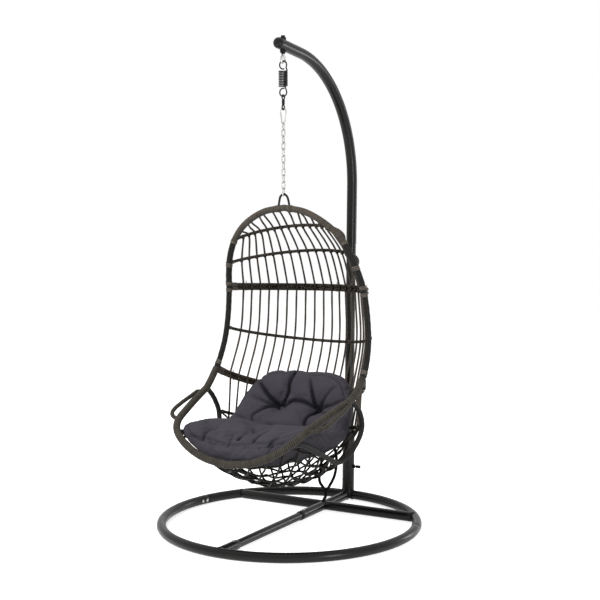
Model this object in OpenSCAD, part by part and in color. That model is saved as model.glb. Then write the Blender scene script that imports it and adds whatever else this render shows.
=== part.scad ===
// Hanging egg chair: a woven egg-shaped seat on a spring and chain,
// under a bent post that stands on a tubular floor ring.
// Millimetres, +Z up, the chair faces -Y. Origin: floor, centre of the ring.

/* [Floor stand] */
// Outer diameter of the floor ring
ring_od = 1054; // [960:2:1150]
// Tube diameter of the floor ring, crossbar and hub
ring_tube_d = 38; // [32:1:42]
// Wall of the floor tubes
floor_wall = 2; // [1.5:0.1:3]
// Angle of the ring's two seams above the X axis
seam_angle = 15.5; // [12:0.5:20]
// Distance of the crossbar behind the ring centre
crossbar_y = 290; // [240:5:340]
// Tube diameter of the front half of the spine
spine_front_d = 32; // [28:1:34]
// Place of the hub tube's front end, behind the ring centre
hub_front_y = 83; // [40:1:140]
// Length of the stub on the front of the ring
stub_len = 104; // [70:1:140]

/* [Post and arm] */
// Diameter of the socket that holds the post
socket_d = 52; // [50:1:56]
// Length of the socket
socket_len = 300; // [240:5:360]
// Diameter of the lower post tube
post_d = 40; // [38:0.5:41]
// Diameter of the bent arm tube
arm_d = 43; // [42:0.5:46]
// Height of the joint between post and arm
post_joint_z = 1105; // [1000:5:1150]
// Backward lean of the post in degrees
post_lean = 1.7; // [0:0.1:3]
// Radius of the arm's bend
bend_r = 508; // [490:1:520]
// Angle of the arm's bend
bend_angle = 84; // [82:0.5:86]
// Height where the bend starts
bend_z = 1354; // [1300:1:1400]
// Distance of the hanging axis from the ring centre
hang_y = -30; // [-40:1:-20]

/* [Hanger] */
// Wire diameter of the eye bolt
eye_wire = 9; // [8:0.5:10]
// Wire diameter of the spring
spring_wire = 5.4; // [5:0.1:6]
// Turns of the spring
spring_turns = 10; // [8:1:12]
// Pitch of the spring's coil
spring_pitch = 6.3; // [6.2:0.1:7]
// Wire diameter of a chain link
link_wire = 5; // [4:0.5:5.5]
// Number of chain links, odd so that both ends hook square
link_count = 11; // [7:2:13]
// Pitch of the chain
link_pitch = 25.2; // [24:0.1:27]

/* [Egg frame] */
// Diameter of the hood rim with its wrap
rim_d = 25; // [22:0.5:27]
// Diameter of the side and seat tubes
side_d = 23; // [20:0.5:24]
// Diameter of the front rim with its wrap
front_d = 28; // [24:0.5:30]
// Diameter of the single rails
rail_d = 11; // [9:0.5:12]
// Diameter of the doubled rails
double_d = 13.5; // [12:0.5:15]
// Distance between the two tubes of a doubled rail
double_gap = 1.5; // [1:0.5:4]
// Diameter of a slat
slat_d = 6.4; // [5:0.2:7]
// Distance between neighbouring slats along the middle rail
slat_pitch = 41.5; // [38:0.5:43]
// Diameter of a net cord
net_cord_d = 7; // [5:0.5:7.5]
// Number of net cords in each direction
net_cords = 14; // [10:1:16]
// Lowest point of the net above the floor
net_bottom_z = 177; // [160:1:200]

/* [Cushion] */
// Thickness of the seat cushion
cushion_t = 150; // [120:5:160]
// Half width of the seat cushion
cushion_half_w = 268; // [230:2:270]

/* [Hidden] */
$fn = 48;

seat_gap = 0.3;
fit_gap = 0.2;
steel = [0.11, 0.11, 0.11];
zinc = [0.75, 0.76, 0.78];
wicker = [0.36, 0.33, 0.3];
wicker_dark = [0.24, 0.23, 0.22];
fabric = [0.29, 0.28, 0.31];

// ---------- shared geometry ----------

function unit(v) = v / norm(v);
function mirror_x(p) = [-p[0], p[1], p[2]];
function reversed(list) = [for (i = [len(list) - 1:-1:0]) list[i]];

// Uniform Catmull-Rom curve through pts, at u from 0 to len(pts)-1
function point_at(pts, i) =
    i < 0 ? 2 * pts[0] - pts[1] :
    i > len(pts) - 1 ? 2 * pts[len(pts) - 1] - pts[len(pts) - 2] : pts[i];
function curve_at(pts, u) =
    let (i = min(floor(u), len(pts) - 2), t = u - i,
        a = point_at(pts, i - 1), b = point_at(pts, i), c = point_at(pts, i + 1), d = point_at(pts, i + 2))
    0.5 * (2 * b + (c - a) * t + (2 * a - 5 * b + 4 * c - d) * t * t + (3 * b - a - 3 * c + d) * t * t * t);
function curve(pts, from, to, steps) = [for (k = [0:steps]) curve_at(pts, from + (to - from) * k / steps)];

// Direction of a path at each of its points
function tangent(path, i) =
    unit(path[min(i + 1, len(path) - 1)] - path[max(i - 1, 0)]);

// Tube along a path, closed at both ends. The first corner of each ring points along "side".
// "from" and "to" are normals of the planes in which the two ends are cut.
module tube(path, r, sides, side, from = [0, 0, 0], to = [0, 0, 0]) {
    n = len(path);
    points = [for (i = [0:n - 1])
        let (t = tangent(path, i), s = is_list(side[0]) ? side[i] : side, a = unit(s - (s * t) * t), b = cross(t, a),
            cut = i == 0 && norm(from) > 0 ? from : i == n - 1 && norm(to) > 0 ? to : t)
        for (k = [0:sides - 1])
            let (q = r * (cos(360 * k / sides) * a + sin(360 * k / sides) * b))
            path[i] + q - (q * cut) / (t * cut) * t];
    faces = concat(
        [for (i = [0:n - 2]) for (k = [0:sides - 1])
            [i * sides + k, (i + 1) * sides + k, (i + 1) * sides + (k + 1) % sides]],
        [for (i = [0:n - 2]) for (k = [0:sides - 1])
            [i * sides + k, (i + 1) * sides + (k + 1) % sides, i * sides + (k + 1) % sides]],
        [for (k = [1:sides - 2]) [0, k, k + 1]],
        [for (k = [1:sides - 2]) [(n - 1) * sides, (n - 1) * sides + k + 1, (n - 1) * sides + k]]);
    polyhedron(points, faces);
}

// Where a straight run from "at" along "t" meets the skin of a round tube through "c" along "a"
function seat_normal(t, a) = unit(t - (t * a) * a);
function seat_point(at, t, c, a, r) =
    let (n = seat_normal(t, a)) at + ((c - at) * n - r) / (t * n) * t;

module round_bar(from, to, r) {
    d = to - from;
    translate(from)
        rotate([0, acos(d[2] / norm(d)), atan2(d[1], d[0])])
            cylinder(h = norm(d), r = r);
}

// ---------- stand ----------

tube_r = ring_tube_d / 2;
tube_in = tube_r - floor_wall;
ring_r = ring_od / 2 - tube_r;
spigot_angle = 6;
bolt_r = 3;
seam_bolts = [11.2, 14];
post_y = ring_r - 4;

module ring_arc(from, sweep, r) {
    translate([0, 0, tube_r])
        rotate([0, 0, from])
            rotate_extrude(angle = sweep, $fn = 96)
                translate([ring_r, 0])
                    circle(r = r, $fn = 40);
}

module full_ring(r) {
    translate([0, 0, tube_r])
        rotate_extrude($fn = 96)
            translate([ring_r, 0])
                circle(r = r, $fn = 40);
}

module along_y(from, to, r) {
    translate([0, from, tube_r])
        rotate([-90, 0, 0])
            cylinder(h = to - from, r = r);
}

// A reduced spigot, welded into each end of the rear tube, plugs into the front tube
module base_ring_rear() {
    spigot_r = tube_in - fit_gap;
    welded_from = seam_angle + spigot_angle;
    color(steel)
        difference() {
            union() {
                ring_arc(seam_angle, 180 - 2 * seam_angle, tube_r);
                for (side = [0, 1])
                    mirror([side, 0, 0])
                        ring_arc(seam_angle - spigot_angle, spigot_angle, spigot_r);
            }
            ring_arc(welded_from, 180 - 2 * welded_from, tube_in);
            for (side = [0, 1])
                mirror([side, 0, 0]) {
                    ring_arc(seam_angle - spigot_angle - 1, 2 * spigot_angle + 2, spigot_r - floor_wall);
                    seam_bolt_holes();
                }
        }
}

module seam_bolt_holes() {
    for (a = seam_bolts)
        rotate([0, 0, a])
            translate([ring_r - tube_r - 1, 0, tube_r])
                rotate([0, 90, 0])
                    cylinder(h = tube_r + 1, r = bolt_r + fit_gap);
}

module base_ring_front() {
    color(steel)
        difference() {
            ring_arc(180 - seam_angle, 180 + 2 * seam_angle, tube_r);
            ring_arc(179 - seam_angle, 182 + 2 * seam_angle, tube_in);
            for (side = [0, 1])
                mirror([side, 0, 0])
                    seam_bolt_holes();
        }
}

stub_end_y = -ring_r + tube_r + stub_len;
module ring_stub() {
    color(steel)
        difference() {
            along_y(-ring_r, stub_end_y, tube_r);
            along_y(-ring_r + tube_r + 12, stub_end_y + 1, spine_front_d / 2 + fit_gap);
            full_ring(tube_r + fit_gap);
            translate([0, stub_end_y - 22, tube_r])
                cylinder(h = tube_r + 1, r = bolt_r + fit_gap);
        }
}

spine_insert = 60;
module spine_front() {
    color(steel)
        difference() {
            along_y(stub_end_y - 70, hub_front_y + spine_insert, spine_front_d / 2);
            along_y(stub_end_y - 71, hub_front_y + spine_insert + 1, spine_front_d / 2 - floor_wall);
            translate([0, stub_end_y - 22, tube_r])
                cylinder(h = tube_r + 1, r = bolt_r + fit_gap);
            translate([0, hub_front_y + 30, tube_r])
                cylinder(h = tube_r + 1, r = bolt_r + fit_gap);
        }
}

module spine_hub() {
    color(steel)
        difference() {
            along_y(hub_front_y, ring_r - 1, tube_r);
            along_y(hub_front_y - 1, hub_front_y + spine_insert + 12, spine_front_d / 2 + fit_gap);
            full_ring(tube_r + fit_gap);
            on_post()
                cylinder(h = 3 * tube_r, r = socket_d / 2 + fit_gap);
            translate([0, hub_front_y + 30, tube_r])
                cylinder(h = tube_r + 1, r = bolt_r + fit_gap);
        }
}

module crossbar_half() {
    difference() {
        translate([0, crossbar_y, tube_r])
            rotate([0, 90, 0])
                cylinder(h = sqrt(pow(ring_r, 2) - pow(crossbar_y, 2)), r = tube_r);
        along_y(crossbar_y - 2 * tube_r, crossbar_y + 2 * tube_r, tube_r + fit_gap);
        full_ring(tube_r + fit_gap);
    }
}

module crossbar_left() {
    color(steel)
        mirror([1, 0, 0])
            crossbar_half();
}

module crossbar_right() {
    color(steel)
        crossbar_half();
}

module button_bolt(length) {
    cylinder(h = length, r = bolt_r);
    translate([0, 0, length])
        cylinder(h = 1, r = 2 * bolt_r);
    translate([0, 0, length + 1])
        cylinder(h = 1.6, r = 1.6 * bolt_r);
}

module base_bolts() {
    color(zinc) {
        for (side = [0, 1])
            mirror([side, 0, 0])
                for (a = seam_bolts)
                    rotate([0, 0, a])
                        translate([ring_r - tube_r + 12, 0, tube_r])
                            rotate([0, -90, 0])
                                button_bolt(12.8);
        for (y = [stub_end_y - 22, hub_front_y + 30])
            translate([0, y, tube_r + 4])
                button_bolt(tube_r - 3.8);
    }
}

// Frame of the leaning post: origin on the ring's centre line, local +Z up the post
module on_post() {
    translate([0, post_y, tube_r])
        rotate([-post_lean, 0, 0])
            children();
}

socket_in = post_d / 2 + fit_gap;
knob_s = 125;
module post_socket() {
    color(steel)
        difference() {
            on_post()
                cylinder(h = socket_len, r = socket_d / 2);
            on_post()
                translate([0, 0, tube_r + 8])
                    cylinder(h = socket_len, r = socket_in);
            full_ring(tube_r + fit_gap);
            on_post()
                translate([0, 0, knob_s])
                    rotate([0, 90, 0])
                        cylinder(h = socket_d, r = 4 + fit_gap);
        }
}

module clamp_knob() {
    color(steel)
        on_post()
            translate([post_d / 2 + seat_gap, 0, knob_s])
                rotate([0, 90, 0]) {
                    cylinder(h = 20, r = 4);
                    translate([0, 0, socket_d / 2 - post_d / 2])
                        cylinder(h = 5, r = 9, $fn = 6);
                    translate([0, 0, 20])
                        cylinder(h = 12, r = 7);
                    translate([0, 0, 32])
                        sphere(r = 7);
                }
}

joint_s = (post_joint_z - tube_r) / cos(post_lean);
post_insert = 120;
// The arm's two straight runs butt against its bend
weld_gap = 0.05;
module post_lower() {
    color(steel)
        on_post()
            difference() {
                translate([0, 0, tube_r + 8 + seat_gap])
                    cylinder(h = joint_s + post_insert - tube_r - 8 - seat_gap, r = post_d / 2);
                translate([0, 0, tube_r])
                    cylinder(h = joint_s + post_insert, r = post_d / 2 - 2.2);
            }
}

// The arm: straight, one bend, straight. Angles are measured in the YZ plane.
arm_r = arm_d / 2;
arm_in = post_d / 2 + fit_gap;
bend_s = (bend_z - tube_r) / cos(post_lean);
bend_start = [0, post_y + bend_s * sin(post_lean), bend_z];
bend_centre = bend_start - bend_r * [0, cos(post_lean), -sin(post_lean)];
arm_rise = 90 - bend_angle + post_lean;
arm_dir = [0, -cos(arm_rise), sin(arm_rise)];
bend_end = bend_centre + bend_r * [0, sin(arm_rise), cos(arm_rise)];
arm_over = (bend_end[1] - hang_y + 30) / cos(arm_rise);
arm_tip = bend_end + arm_over * arm_dir;
hang_axis_z = bend_end[2] + (bend_end[1] - hang_y) * tan(arm_rise);

module hollow_bar(from, to, r, inner) {
    d = to - from;
    translate(from)
        rotate([0, acos(d[2] / norm(d)), atan2(d[1], d[0])])
            difference() {
                cylinder(h = norm(d), r = r);
                translate([0, 0, -1])
                    cylinder(h = norm(d) + 2, r = inner);
            }
}

module post_arm() {
    color(steel) {
        hollow_bar([0, post_y + joint_s * sin(post_lean), post_joint_z],
            bend_start - weld_gap * unit(bend_start - [0, post_y, tube_r]), arm_r, arm_in);
        translate(bend_centre)
            rotate([0, 0, 90])
                rotate([90, 0, 0])
                    rotate([0, 0, -post_lean])
                        difference() {
                            rotate_extrude(angle = bend_angle, $fn = 96)
                                translate([bend_r, 0])
                                    circle(r = arm_r, $fn = 48);
                            rotate([0, 0, -1])
                                rotate_extrude(angle = bend_angle + 2, $fn = 96)
                                    translate([bend_r, 0])
                                        circle(r = arm_in, $fn = 48);
                        }
        difference() {
            hollow_bar(bend_end + weld_gap * arm_dir, arm_tip, arm_r, arm_in);
            translate([0, hang_y, hang_axis_z - 2 * arm_r])
                cylinder(h = 4 * arm_r, r = eye_wire / 2 + fit_gap);
        }
    }
}

module arm_end_cap() {
    color(steel) {
        difference() {
            translate(arm_tip + seat_gap * arm_dir)
                sphere(r = arm_r);
            translate(arm_tip + seat_gap * arm_dir)
                rotate([90 - arm_rise, 0, 0])
                    mirror([0, 0, 1])
                        cylinder(h = 2 * arm_r, r = 2 * arm_r);
        }
        round_bar(arm_tip - 14 * arm_dir, arm_tip + (seat_gap + 1) * arm_dir, arm_in - fit_gap);
    }
}

// ---------- hanger ----------

// Heights along the hanging axis follow from one another, from the arm down
eye_r = eye_wire / 2;
eye_ring = 13.5;
washer_h = 7;
arm_half_z = arm_r / cos(arm_rise);
eye_z = hang_axis_z - arm_half_z - 33;
hook_r = spring_wire / 2;
hook_ring = 15.5;
coil_r = 15.6;
hook_top_z = eye_z - eye_ring + eye_r + hook_r + seat_gap;
upper_hook_z = hook_top_z - hook_ring;
coil_top_z = upper_hook_z - hook_ring - hook_r - 2.5;
coil_bottom_z = coil_top_z - spring_turns * spring_pitch;
lower_hook_z = coil_bottom_z - hook_ring - hook_r - 2.5;
swivel_wire = 5.6;
swivel_r = swivel_wire / 2;
swivel_ring = 9;
upper_eye_z = lower_hook_z - hook_ring + hook_r + swivel_r + seat_gap - swivel_ring;
barrel_r = 6;
barrel_h = 12;
barrel_top_z = upper_eye_z - swivel_ring;
barrel_mid_z = barrel_top_z - barrel_h;
lower_eye_z = barrel_mid_z - barrel_h - swivel_ring + 3;
carabiner_wire = 5;
carabiner_r = carabiner_wire / 2;
carabiner_wide = 12.5;
carabiner_narrow = 7;
carabiner_len = 40;
carabiner_top_z = lower_eye_z - swivel_ring + swivel_r + carabiner_r + seat_gap;
wide_z = carabiner_top_z - carabiner_wide;
narrow_z = wide_z - carabiner_len;
link_r = link_wire / 2;
link_ring = 6.4;
link_straight = link_pitch + link_wire + seat_gap - 2 * link_ring;
first_link_z = narrow_z - carabiner_narrow + carabiner_r + link_r + seat_gap - link_ring - link_straight / 2;
last_link_z = first_link_z - (link_count - 1) * link_pitch;
loop_r = 3.6;
loop_top_z = last_link_z - link_straight / 2 - link_ring + link_r + loop_r + seat_gap;

module on_axis(z) {
    translate([0, hang_y, z])
        children();
}

// Ring of wire in the YZ plane
module ring_yz(ring, r) {
    rotate([0, 90, 0])
        rotate_extrude()
            translate([ring, 0])
                circle(r = r, $fn = 24);
}

module ring_xz(ring, r) {
    rotate([90, 0, 0])
        rotate_extrude()
            translate([ring, 0])
                circle(r = r, $fn = 24);
}

module eye_bolt() {
    color(zinc) {
        on_axis(eye_z)
            ring_yz(eye_ring, eye_r);
        on_axis(eye_z + eye_ring)
            cylinder(h = hang_axis_z + arm_half_z + washer_h + 8 - eye_z - eye_ring, r = eye_r);
    }
}

module saddle(sign) {
    difference() {
        on_axis(hang_axis_z + sign * (arm_half_z + washer_h / 2 - 2))
            cylinder(h = washer_h + 4, r = 12, center = true);
        round_bar(bend_end, arm_tip + 40 * arm_dir, arm_r + fit_gap);
        on_axis(hang_axis_z - 3 * arm_r)
            cylinder(h = 6 * arm_r, r = eye_r + fit_gap);
    }
}

module saddle_washers() {
    color(steel) {
        saddle(1);
        saddle(-1);
    }
}

module eye_bolt_nuts() {
    color(steel) {
        difference() {
            on_axis(hang_axis_z + arm_half_z + washer_h + seat_gap)
                union() {
                    cylinder(h = 7, r = 9, $fn = 6);
                    translate([0, 0, 6])
                        sphere(r = 7.5);
                }
            on_axis(hang_axis_z)
                cylinder(h = arm_half_z + washer_h + 9, r = eye_r + 0.1);
        }
        difference() {
            on_axis(hang_axis_z - arm_half_z - washer_h - seat_gap - 6)
                cylinder(h = 6, r = 9, $fn = 6);
            on_axis(eye_z)
                cylinder(h = 60, r = eye_r + 0.1);
        }
    }
}

// The spring is one wire: upper hook, lead, coil, lead, lower hook
hook_steps = 13;
hook_from = 255;
hook_to = -25;
lead_steps = 5;
function hook_point(z, beta) = [hook_ring * cos(beta), 0, z + hook_ring * sin(beta)];
function coil_point(turn) =
    [coil_r * cos(360 * turn), coil_r * sin(360 * turn), coil_top_z - spring_pitch * turn];
function hermite(p, pt, q, qt, t) =
    (2 * t * t * t - 3 * t * t + 1) * p + (t * t * t - 2 * t * t + t) * pt
    + (3 * t * t - 2 * t * t * t) * q + (t * t * t - t * t) * qt;
lead_turn = 0.125;
upper_hook = [for (k = [0:hook_steps]) hook_point(upper_hook_z, hook_from + (hook_to - hook_from) * k / hook_steps)];
upper_lead = [for (k = [1:lead_steps - 1]) hermite(
    hook_point(upper_hook_z, hook_to), 16 * [sin(hook_to), 0, -cos(hook_to)],
    coil_point(lead_turn), 16 * [-sin(360 * lead_turn), cos(360 * lead_turn), -0.06], k / lead_steps)];
coil_steps = 8;
coil = [for (k = [0:(spring_turns - 2 * lead_turn) * coil_steps]) coil_point(lead_turn + k / coil_steps)];
half_spring = concat(upper_hook, upper_lead);
spring_mid_z = (coil_top_z + coil_bottom_z) / 2;
// A half turn about Y swaps the two ends of the spring
spring_path = concat(half_spring, coil,
    [for (p = reversed(half_spring)) [p[0], -p[1], 2 * spring_mid_z - p[2]]]);
spring_gaps = [for (i = [0:len(coil) - coil_steps - 1]) norm(coil[i + coil_steps] - coil[i]) - spring_wire];
echo(least_gap_between_spring_turns = min(spring_gaps));

module spring() {
    color(steel)
        on_axis(0)
            tube(spring_path, hook_r, 6, [for (i = [0:len(spring_path) - 1])
                let (p = spring_path[i], t = tangent(spring_path, i))
                i < len(half_spring) || i >= len(half_spring) + len(coil) ? cross(t, [0, 1, 0.02]) : [p[0], p[1], 0]]);
}

module swivel_upper() {
    color(steel) {
        difference() {
            union() {
                on_axis(upper_eye_z)
                    ring_yz(swivel_ring, swivel_r);
                on_axis(barrel_mid_z)
                    cylinder(h = barrel_h, r = barrel_r);
            }
            on_axis(barrel_mid_z - 1)
                cylinder(h = 6, r = 2.5 + fit_gap);
            on_axis(barrel_mid_z + 3)
                cylinder(h = 4, r = 4.4);
        }
    }
}

module swivel_lower() {
    color(steel) {
        on_axis(barrel_mid_z - 1)
            cylinder(h = 5, r = 2.5);
        on_axis(barrel_mid_z + 3.4)
            cylinder(h = 3, r = 4);
        on_axis(barrel_mid_z - seat_gap - barrel_h + 4)
            cylinder(h = barrel_h - 4, r = barrel_r);
        on_axis(lower_eye_z)
            ring_yz(swivel_ring, swivel_r);
    }
}

// Straight sides of the carabiner touch both round ends
side_tilt = asin((carabiner_wide - carabiner_narrow) / carabiner_len);
function on_wide(side) =
    [side * carabiner_wide * cos(side_tilt), hang_y, wide_z - carabiner_wide * sin(side_tilt)];
function on_narrow(side) =
    [side * carabiner_narrow * cos(side_tilt), hang_y, narrow_z - carabiner_narrow * sin(side_tilt)];
gate_top = on_narrow(1) + 0.86 * (on_wide(1) - on_narrow(1));
gate_pivot = on_narrow(1) + 0.12 * (on_wide(1) - on_narrow(1));

// The body is one wire from the gate's top, over the wide end, round the narrow end, to the gate's pivot
function round_end(z, ring, from, to, steps) = [for (k = [0:steps])
    let (a = from + (to - from) * k / steps) [ring * cos(a), hang_y, z + ring * sin(a)]];
carabiner_path = concat([gate_top + 0.4 * unit(on_wide(1) - on_narrow(1))],
    round_end(wide_z, carabiner_wide, -side_tilt, 180 + side_tilt, 14),
    round_end(narrow_z, carabiner_narrow, 180 + side_tilt, 360 - side_tilt, 10), [gate_pivot]);

module carabiner() {
    color(zinc)
        difference() {
            tube(carabiner_path, carabiner_r, 8, [0, 1, 0]);
            translate(gate_pivot)
                cube([3 * carabiner_r, 2.2, 8], center = true);
            translate(gate_pivot)
                rotate([90, 0, 0])
                    cylinder(h = 8, r = 0.9, center = true);
        }
}

module carabiner_gate() {
    color(zinc) {
        translate(gate_pivot)
            rotate([90, 0, 0])
                cylinder(h = 5, r = 0.8, center = true);
        translate(gate_pivot)
            rotate([0, side_tilt, 0])
                translate([-0.9, -0.9, -1.6])
                    cube([1.8, 1.8, 8]);
        round_bar(gate_pivot + 5 * unit(gate_top - gate_pivot), gate_top, carabiner_r - 0.2);
    }
}

module chain_link() {
    for (end = [0, 1])
        mirror([0, 0, end])
            translate([0, 0, link_straight / 2])
                rotate([90, 0, 0])
                    rotate_extrude(angle = 180)
                        translate([link_ring, 0])
                            circle(r = link_r, $fn = 24);
    for (side = [-1, 1])
        translate([side * link_ring, 0, -link_straight / 2])
            cylinder(h = link_straight, r = link_r, $fn = 24);
}

module chain_links() {
    color(zinc)
        for (i = [0:link_count - 1])
            on_axis(first_link_z - i * link_pitch)
                rotate([0, 0, i % 2 == 0 ? 90 : 0])
                    chain_link();
}

// ---------- egg: curves ----------

// The chair's own coordinates: x across, y back from the hanging axis, z above the floor
module on_chair() {
    translate([0, hang_y, 0])
        children();
}

apex_z = loop_top_z - 40 - rim_d / 2;
drop = apex_z - 1266;
function z_up(p) = p + [0, 0, drop];
// Rim of the egg, right half, from the apex to the arm joint
rim_points = [for (p = [[0, 2, 1266], [93, 2, 1250], [178, 9, 1206], [238, 25, 1149], [274, 38, 1079],
    [298, 62, 1003], [311, 82, 925], [321, 88, 825], [329, 76, 730], [334, 38, 642], [332, -18, 580],
    [328, -62, 545]]) z_up(p)];
// Front rim of the seat, from the middle to the arm joint
front_points = [for (p = [[0, -417, 331], [98, -414, 345], [182, -402, 377], [246, -378, 420],
    [279, -330, 457], [299, -230, 494], [315, -140, 522], [328, -62, 545]]) z_up(p)];
// Bucket tube under the arm, from the arm joint down and forward to the front rim
bucket_points = [for (p = [[328, -62, 545], [332, -10, 500], [330, 22, 447], [324, 22, 402], [312, 2, 360],
    [298, -35, 322], [284, -92, 308], [277, -150, 333], [270, -235, 374], [262, -320, 412], [250, -378, 420]])
    z_up(p)];
// Outer loop of the armrest. It leaves the rim sideways and comes back to it further forward.
arm_points = [for (p = [[344, -104, 535], [347, -150, 520], [348, -205, 504], [345, -258, 488],
    [335, -290, 476], [314, -310, 466], [282, -318, 460]]) z_up(p)];
arm_r2 = 8;
bucket_r = 9.5;
slats_side = 10;
rail_r = rail_d / 2;
double_r = double_d / 2;
double_half = (double_d + double_gap) / 2;
slat_r = slat_d / 2;
rim_r = rim_d / 2;
side_r = side_d / 2;
front_r = front_d / 2;
// Seams of the rim: hood to sides, sides to seat
hood_seam = 5.77;
seat_seam = 9.36;

// A hoop runs round the back between two tubes. It is kept as
// [end point, run of the tube there, radius of that tube, depth at mid back, height at mid back,
// lean of the egg's skin there in degrees].
function hoop(points, u, r, depth, z, lean = 0) =
    [curve_at(points, u), unit(curve_at(points, u + 0.1) - curve_at(points, u - 0.1)), r, depth, z + drop, lean];
hoop_1 = hoop(rim_points, 3.23, rim_r, 209, 1194, 50);
hoop_2 = hoop(rim_points, 4.52, rim_r, 327, 1088, 35);
hoop_3 = hoop(rim_points, hood_seam, rim_r, 402, 928);
hoop_4 = hoop(rim_points, 7.48, side_r, 394, 703);
hoop_5 = hoop(rim_points, seat_seam, front_r, 310, 490);
hoop_6 = hoop(bucket_points, 2.1, bucket_r, 215, 375);
depth_power = 1.6;
sag_power = 1.3;
function hoop_point(h, a, inset = 0) =
    let (c = max(cos(a), 0), depth = h[3] - h[0][1],
        n = [depth_power * depth * pow(c, depth_power - 1) * sin(a), h[0][0] * c, 0])
    [h[0][0] * sin(a), h[0][1] + depth * pow(c, depth_power), h[0][2] + (h[4] - h[0][2]) * pow(c, sag_power)]
    - (inset == 0 ? [0, 0, 0] : inset * (cos(h[5]) * unit(n) + [0, 0, sin(h[5])]));

// Slats stand at equal distances along the widest hoop
arc_step = 3;
arc_ends = [for (k = [0:89 / arc_step - 1])
    norm(hoop_point(hoop_4, (k + 1) * arc_step) - hoop_point(hoop_4, k * arc_step))];
function total(list, n, i = 0) = i >= n ? 0 : list[i] + total(list, n, i + 1);
arc_table = [for (k = [0:len(arc_ends)]) [total(arc_ends, k), k * arc_step]];
function slat_angle(i) = sign(i) * lookup(abs(i) * slat_pitch, arc_table);

// The same hoop, carried by a tube of another radius
function on_tube(h, r) = [h[0], h[1], r, h[3], h[4], h[5]];

// Angle at which a hoop's rail, lifted by "lift", meets the tube that carries it
function end_gap(h, lift, a) =
    let (n = seat_normal([0, 1, 0], h[1])) (hoop_point(h, a) + [0, 0, lift] - h[0]) * n;
function end_angle(h, lift, low = 60, high = 90, k = 0) =
    let (mid = (low + high) / 2)
    k == 14 ? mid
    : end_gap(h, lift, mid) > h[2] + seat_gap ? end_angle(h, lift, mid, high, k + 1)
    : end_angle(h, lift, low, mid, k + 1);
function rail_angles(h, lift) = let (e = end_angle(h, lift))
    concat([-e], [for (i = [-slats_side:slats_side]) slat_angle(i)], [e]);

joint_bolt_r = 2.5;
function joint_angles() = [-slat_angle(9.5), slat_angle(0.5), slat_angle(9.5)];
module joint_holes(h) {
    on_chair()
        for (a = joint_angles())
            translate(hoop_point(h, a) - [0, 0, 40])
                cylinder(h = 80, r = joint_bolt_r + fit_gap, $fn = 24);
}

module rail(h, lift, r) {
    angles = rail_angles(h, lift);
    n = seat_normal([0, 1, 0], h[1]);
    on_chair()
        tube([for (a = angles) hoop_point(h, a) + [0, 0, lift]], r, 6,
            [for (a = angles) hoop_point(h, a, 10) - hoop_point(h, a)], mirror_x(n), n);
}

// ---------- egg: hood ----------

rim_half = curve(rim_points, 0, hood_seam, 15);
hood_rim_path = concat([for (p = reversed(rim_half)) mirror_x(p)], [for (i = [1:len(rim_half) - 1]) rim_half[i]]);

module hood_rim() {
    color(wicker)
        on_chair()
            tube(hood_rim_path, rim_r, 8, [0, 1, 0.02], mirror_x(hoop_3[1]), hoop_3[1]);
}

module hanging_loop() {
    half = 16;
    foot = 25;
    foot_z = rim_at(foot - loop_r)[2] + rim_r + seat_gap;
    loop_points = [[-foot, 2, foot_z], [-half - 4, 1, loop_top_z - 24], [-half + 2, 0, loop_top_z - 8],
        [0, 0, loop_top_z], [half - 2, 0, loop_top_z - 8], [half + 4, 1, loop_top_z - 24], [foot, 2, foot_z]];
    color(steel)
        on_chair()
            tube(curve(loop_points, 0, 6, 18), loop_r, 8, [0, 1, 0], [0, 0, 1], [0, 0, 1]);
}

module hood_rails() {
    color(wicker_dark) {
        rail(hoop_1, 0, rail_r);
        rail(hoop_2, 0, rail_r);
    }
}

module hood_joint_rail() {
    color(wicker_dark)
        difference() {
            rail(hoop_3, double_half, double_r);
            joint_holes(hoop_3);
        }
}

single_inset = rail_r + slat_r + seat_gap;
double_inset = double_r + slat_r + seat_gap;
// Above the first rail the slats run on to the rim, where they arrive in pairs like pointed arches.
// Places on the rim are counted in millimetres from the apex.
pair_start = 15;
pair_gap = 16;
rim_arcs = [for (k = [0:19]) norm(curve_at(rim_points, (k + 1) / 5) - curve_at(rim_points, k / 5))];
rim_table = [for (k = [0:len(rim_arcs)]) [total(rim_arcs, k), k / 5]];
function rim_place(i) = pair_start + (i < 0 ? 65 : 46) * (floor(i / 2) + 1) + (i % 2 == 0 ? -1 : 1) * pair_gap / 2;
function rim_at(s) = let (p = curve_at(rim_points, lookup(abs(s), rim_table))) s < 0 ? mirror_x(p) : p;
egg_middle = [0, 60, 1040 + drop];
// One slat of each pair arches higher than the other, most of all on the left
function hood_bulge(i) = i % 2 == 0 ? 0.05 : i < 0 ? 0.13 : 0.07;
function hood_slat_mid(i) =
    let (low = hoop_point(hoop_1, slat_angle(i), single_inset), seat = rim_at(rim_place(i)))
    (low + seat) / 2 + hood_bulge(i) * norm(seat - low) * unit((low + seat) / 2 - egg_middle);
function rim_run(i) = unit(rim_at(rim_place(i) + 5) - rim_at(rim_place(i) - 5));
function hood_slat_seat(i) =
    let (mid = hood_slat_mid(i), seat = rim_at(rim_place(i)))
    seat_point(mid, unit(seat - mid), seat, rim_run(i), rim_r + seat_gap);
function hood_slat_points(i) =
    let (a = slat_angle(i), up = [0, 0, 1],
        foot = hoop_point(hoop_3, a, double_inset + 0.5), one = hoop_point(hoop_2, a, single_inset),
        two = hoop_point(hoop_1, a, single_inset + 0.3))
    abs(i) == slats_side
    ? [foot + (double_half - double_r) * up, foot + (double_half + 2) * up, one, two, two + (two - one) * 0.06]
    : [foot + (double_half - double_r) * up, foot + (double_half + 2) * up, one, two, hood_slat_mid(i),
        hood_slat_seat(i)];

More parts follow.
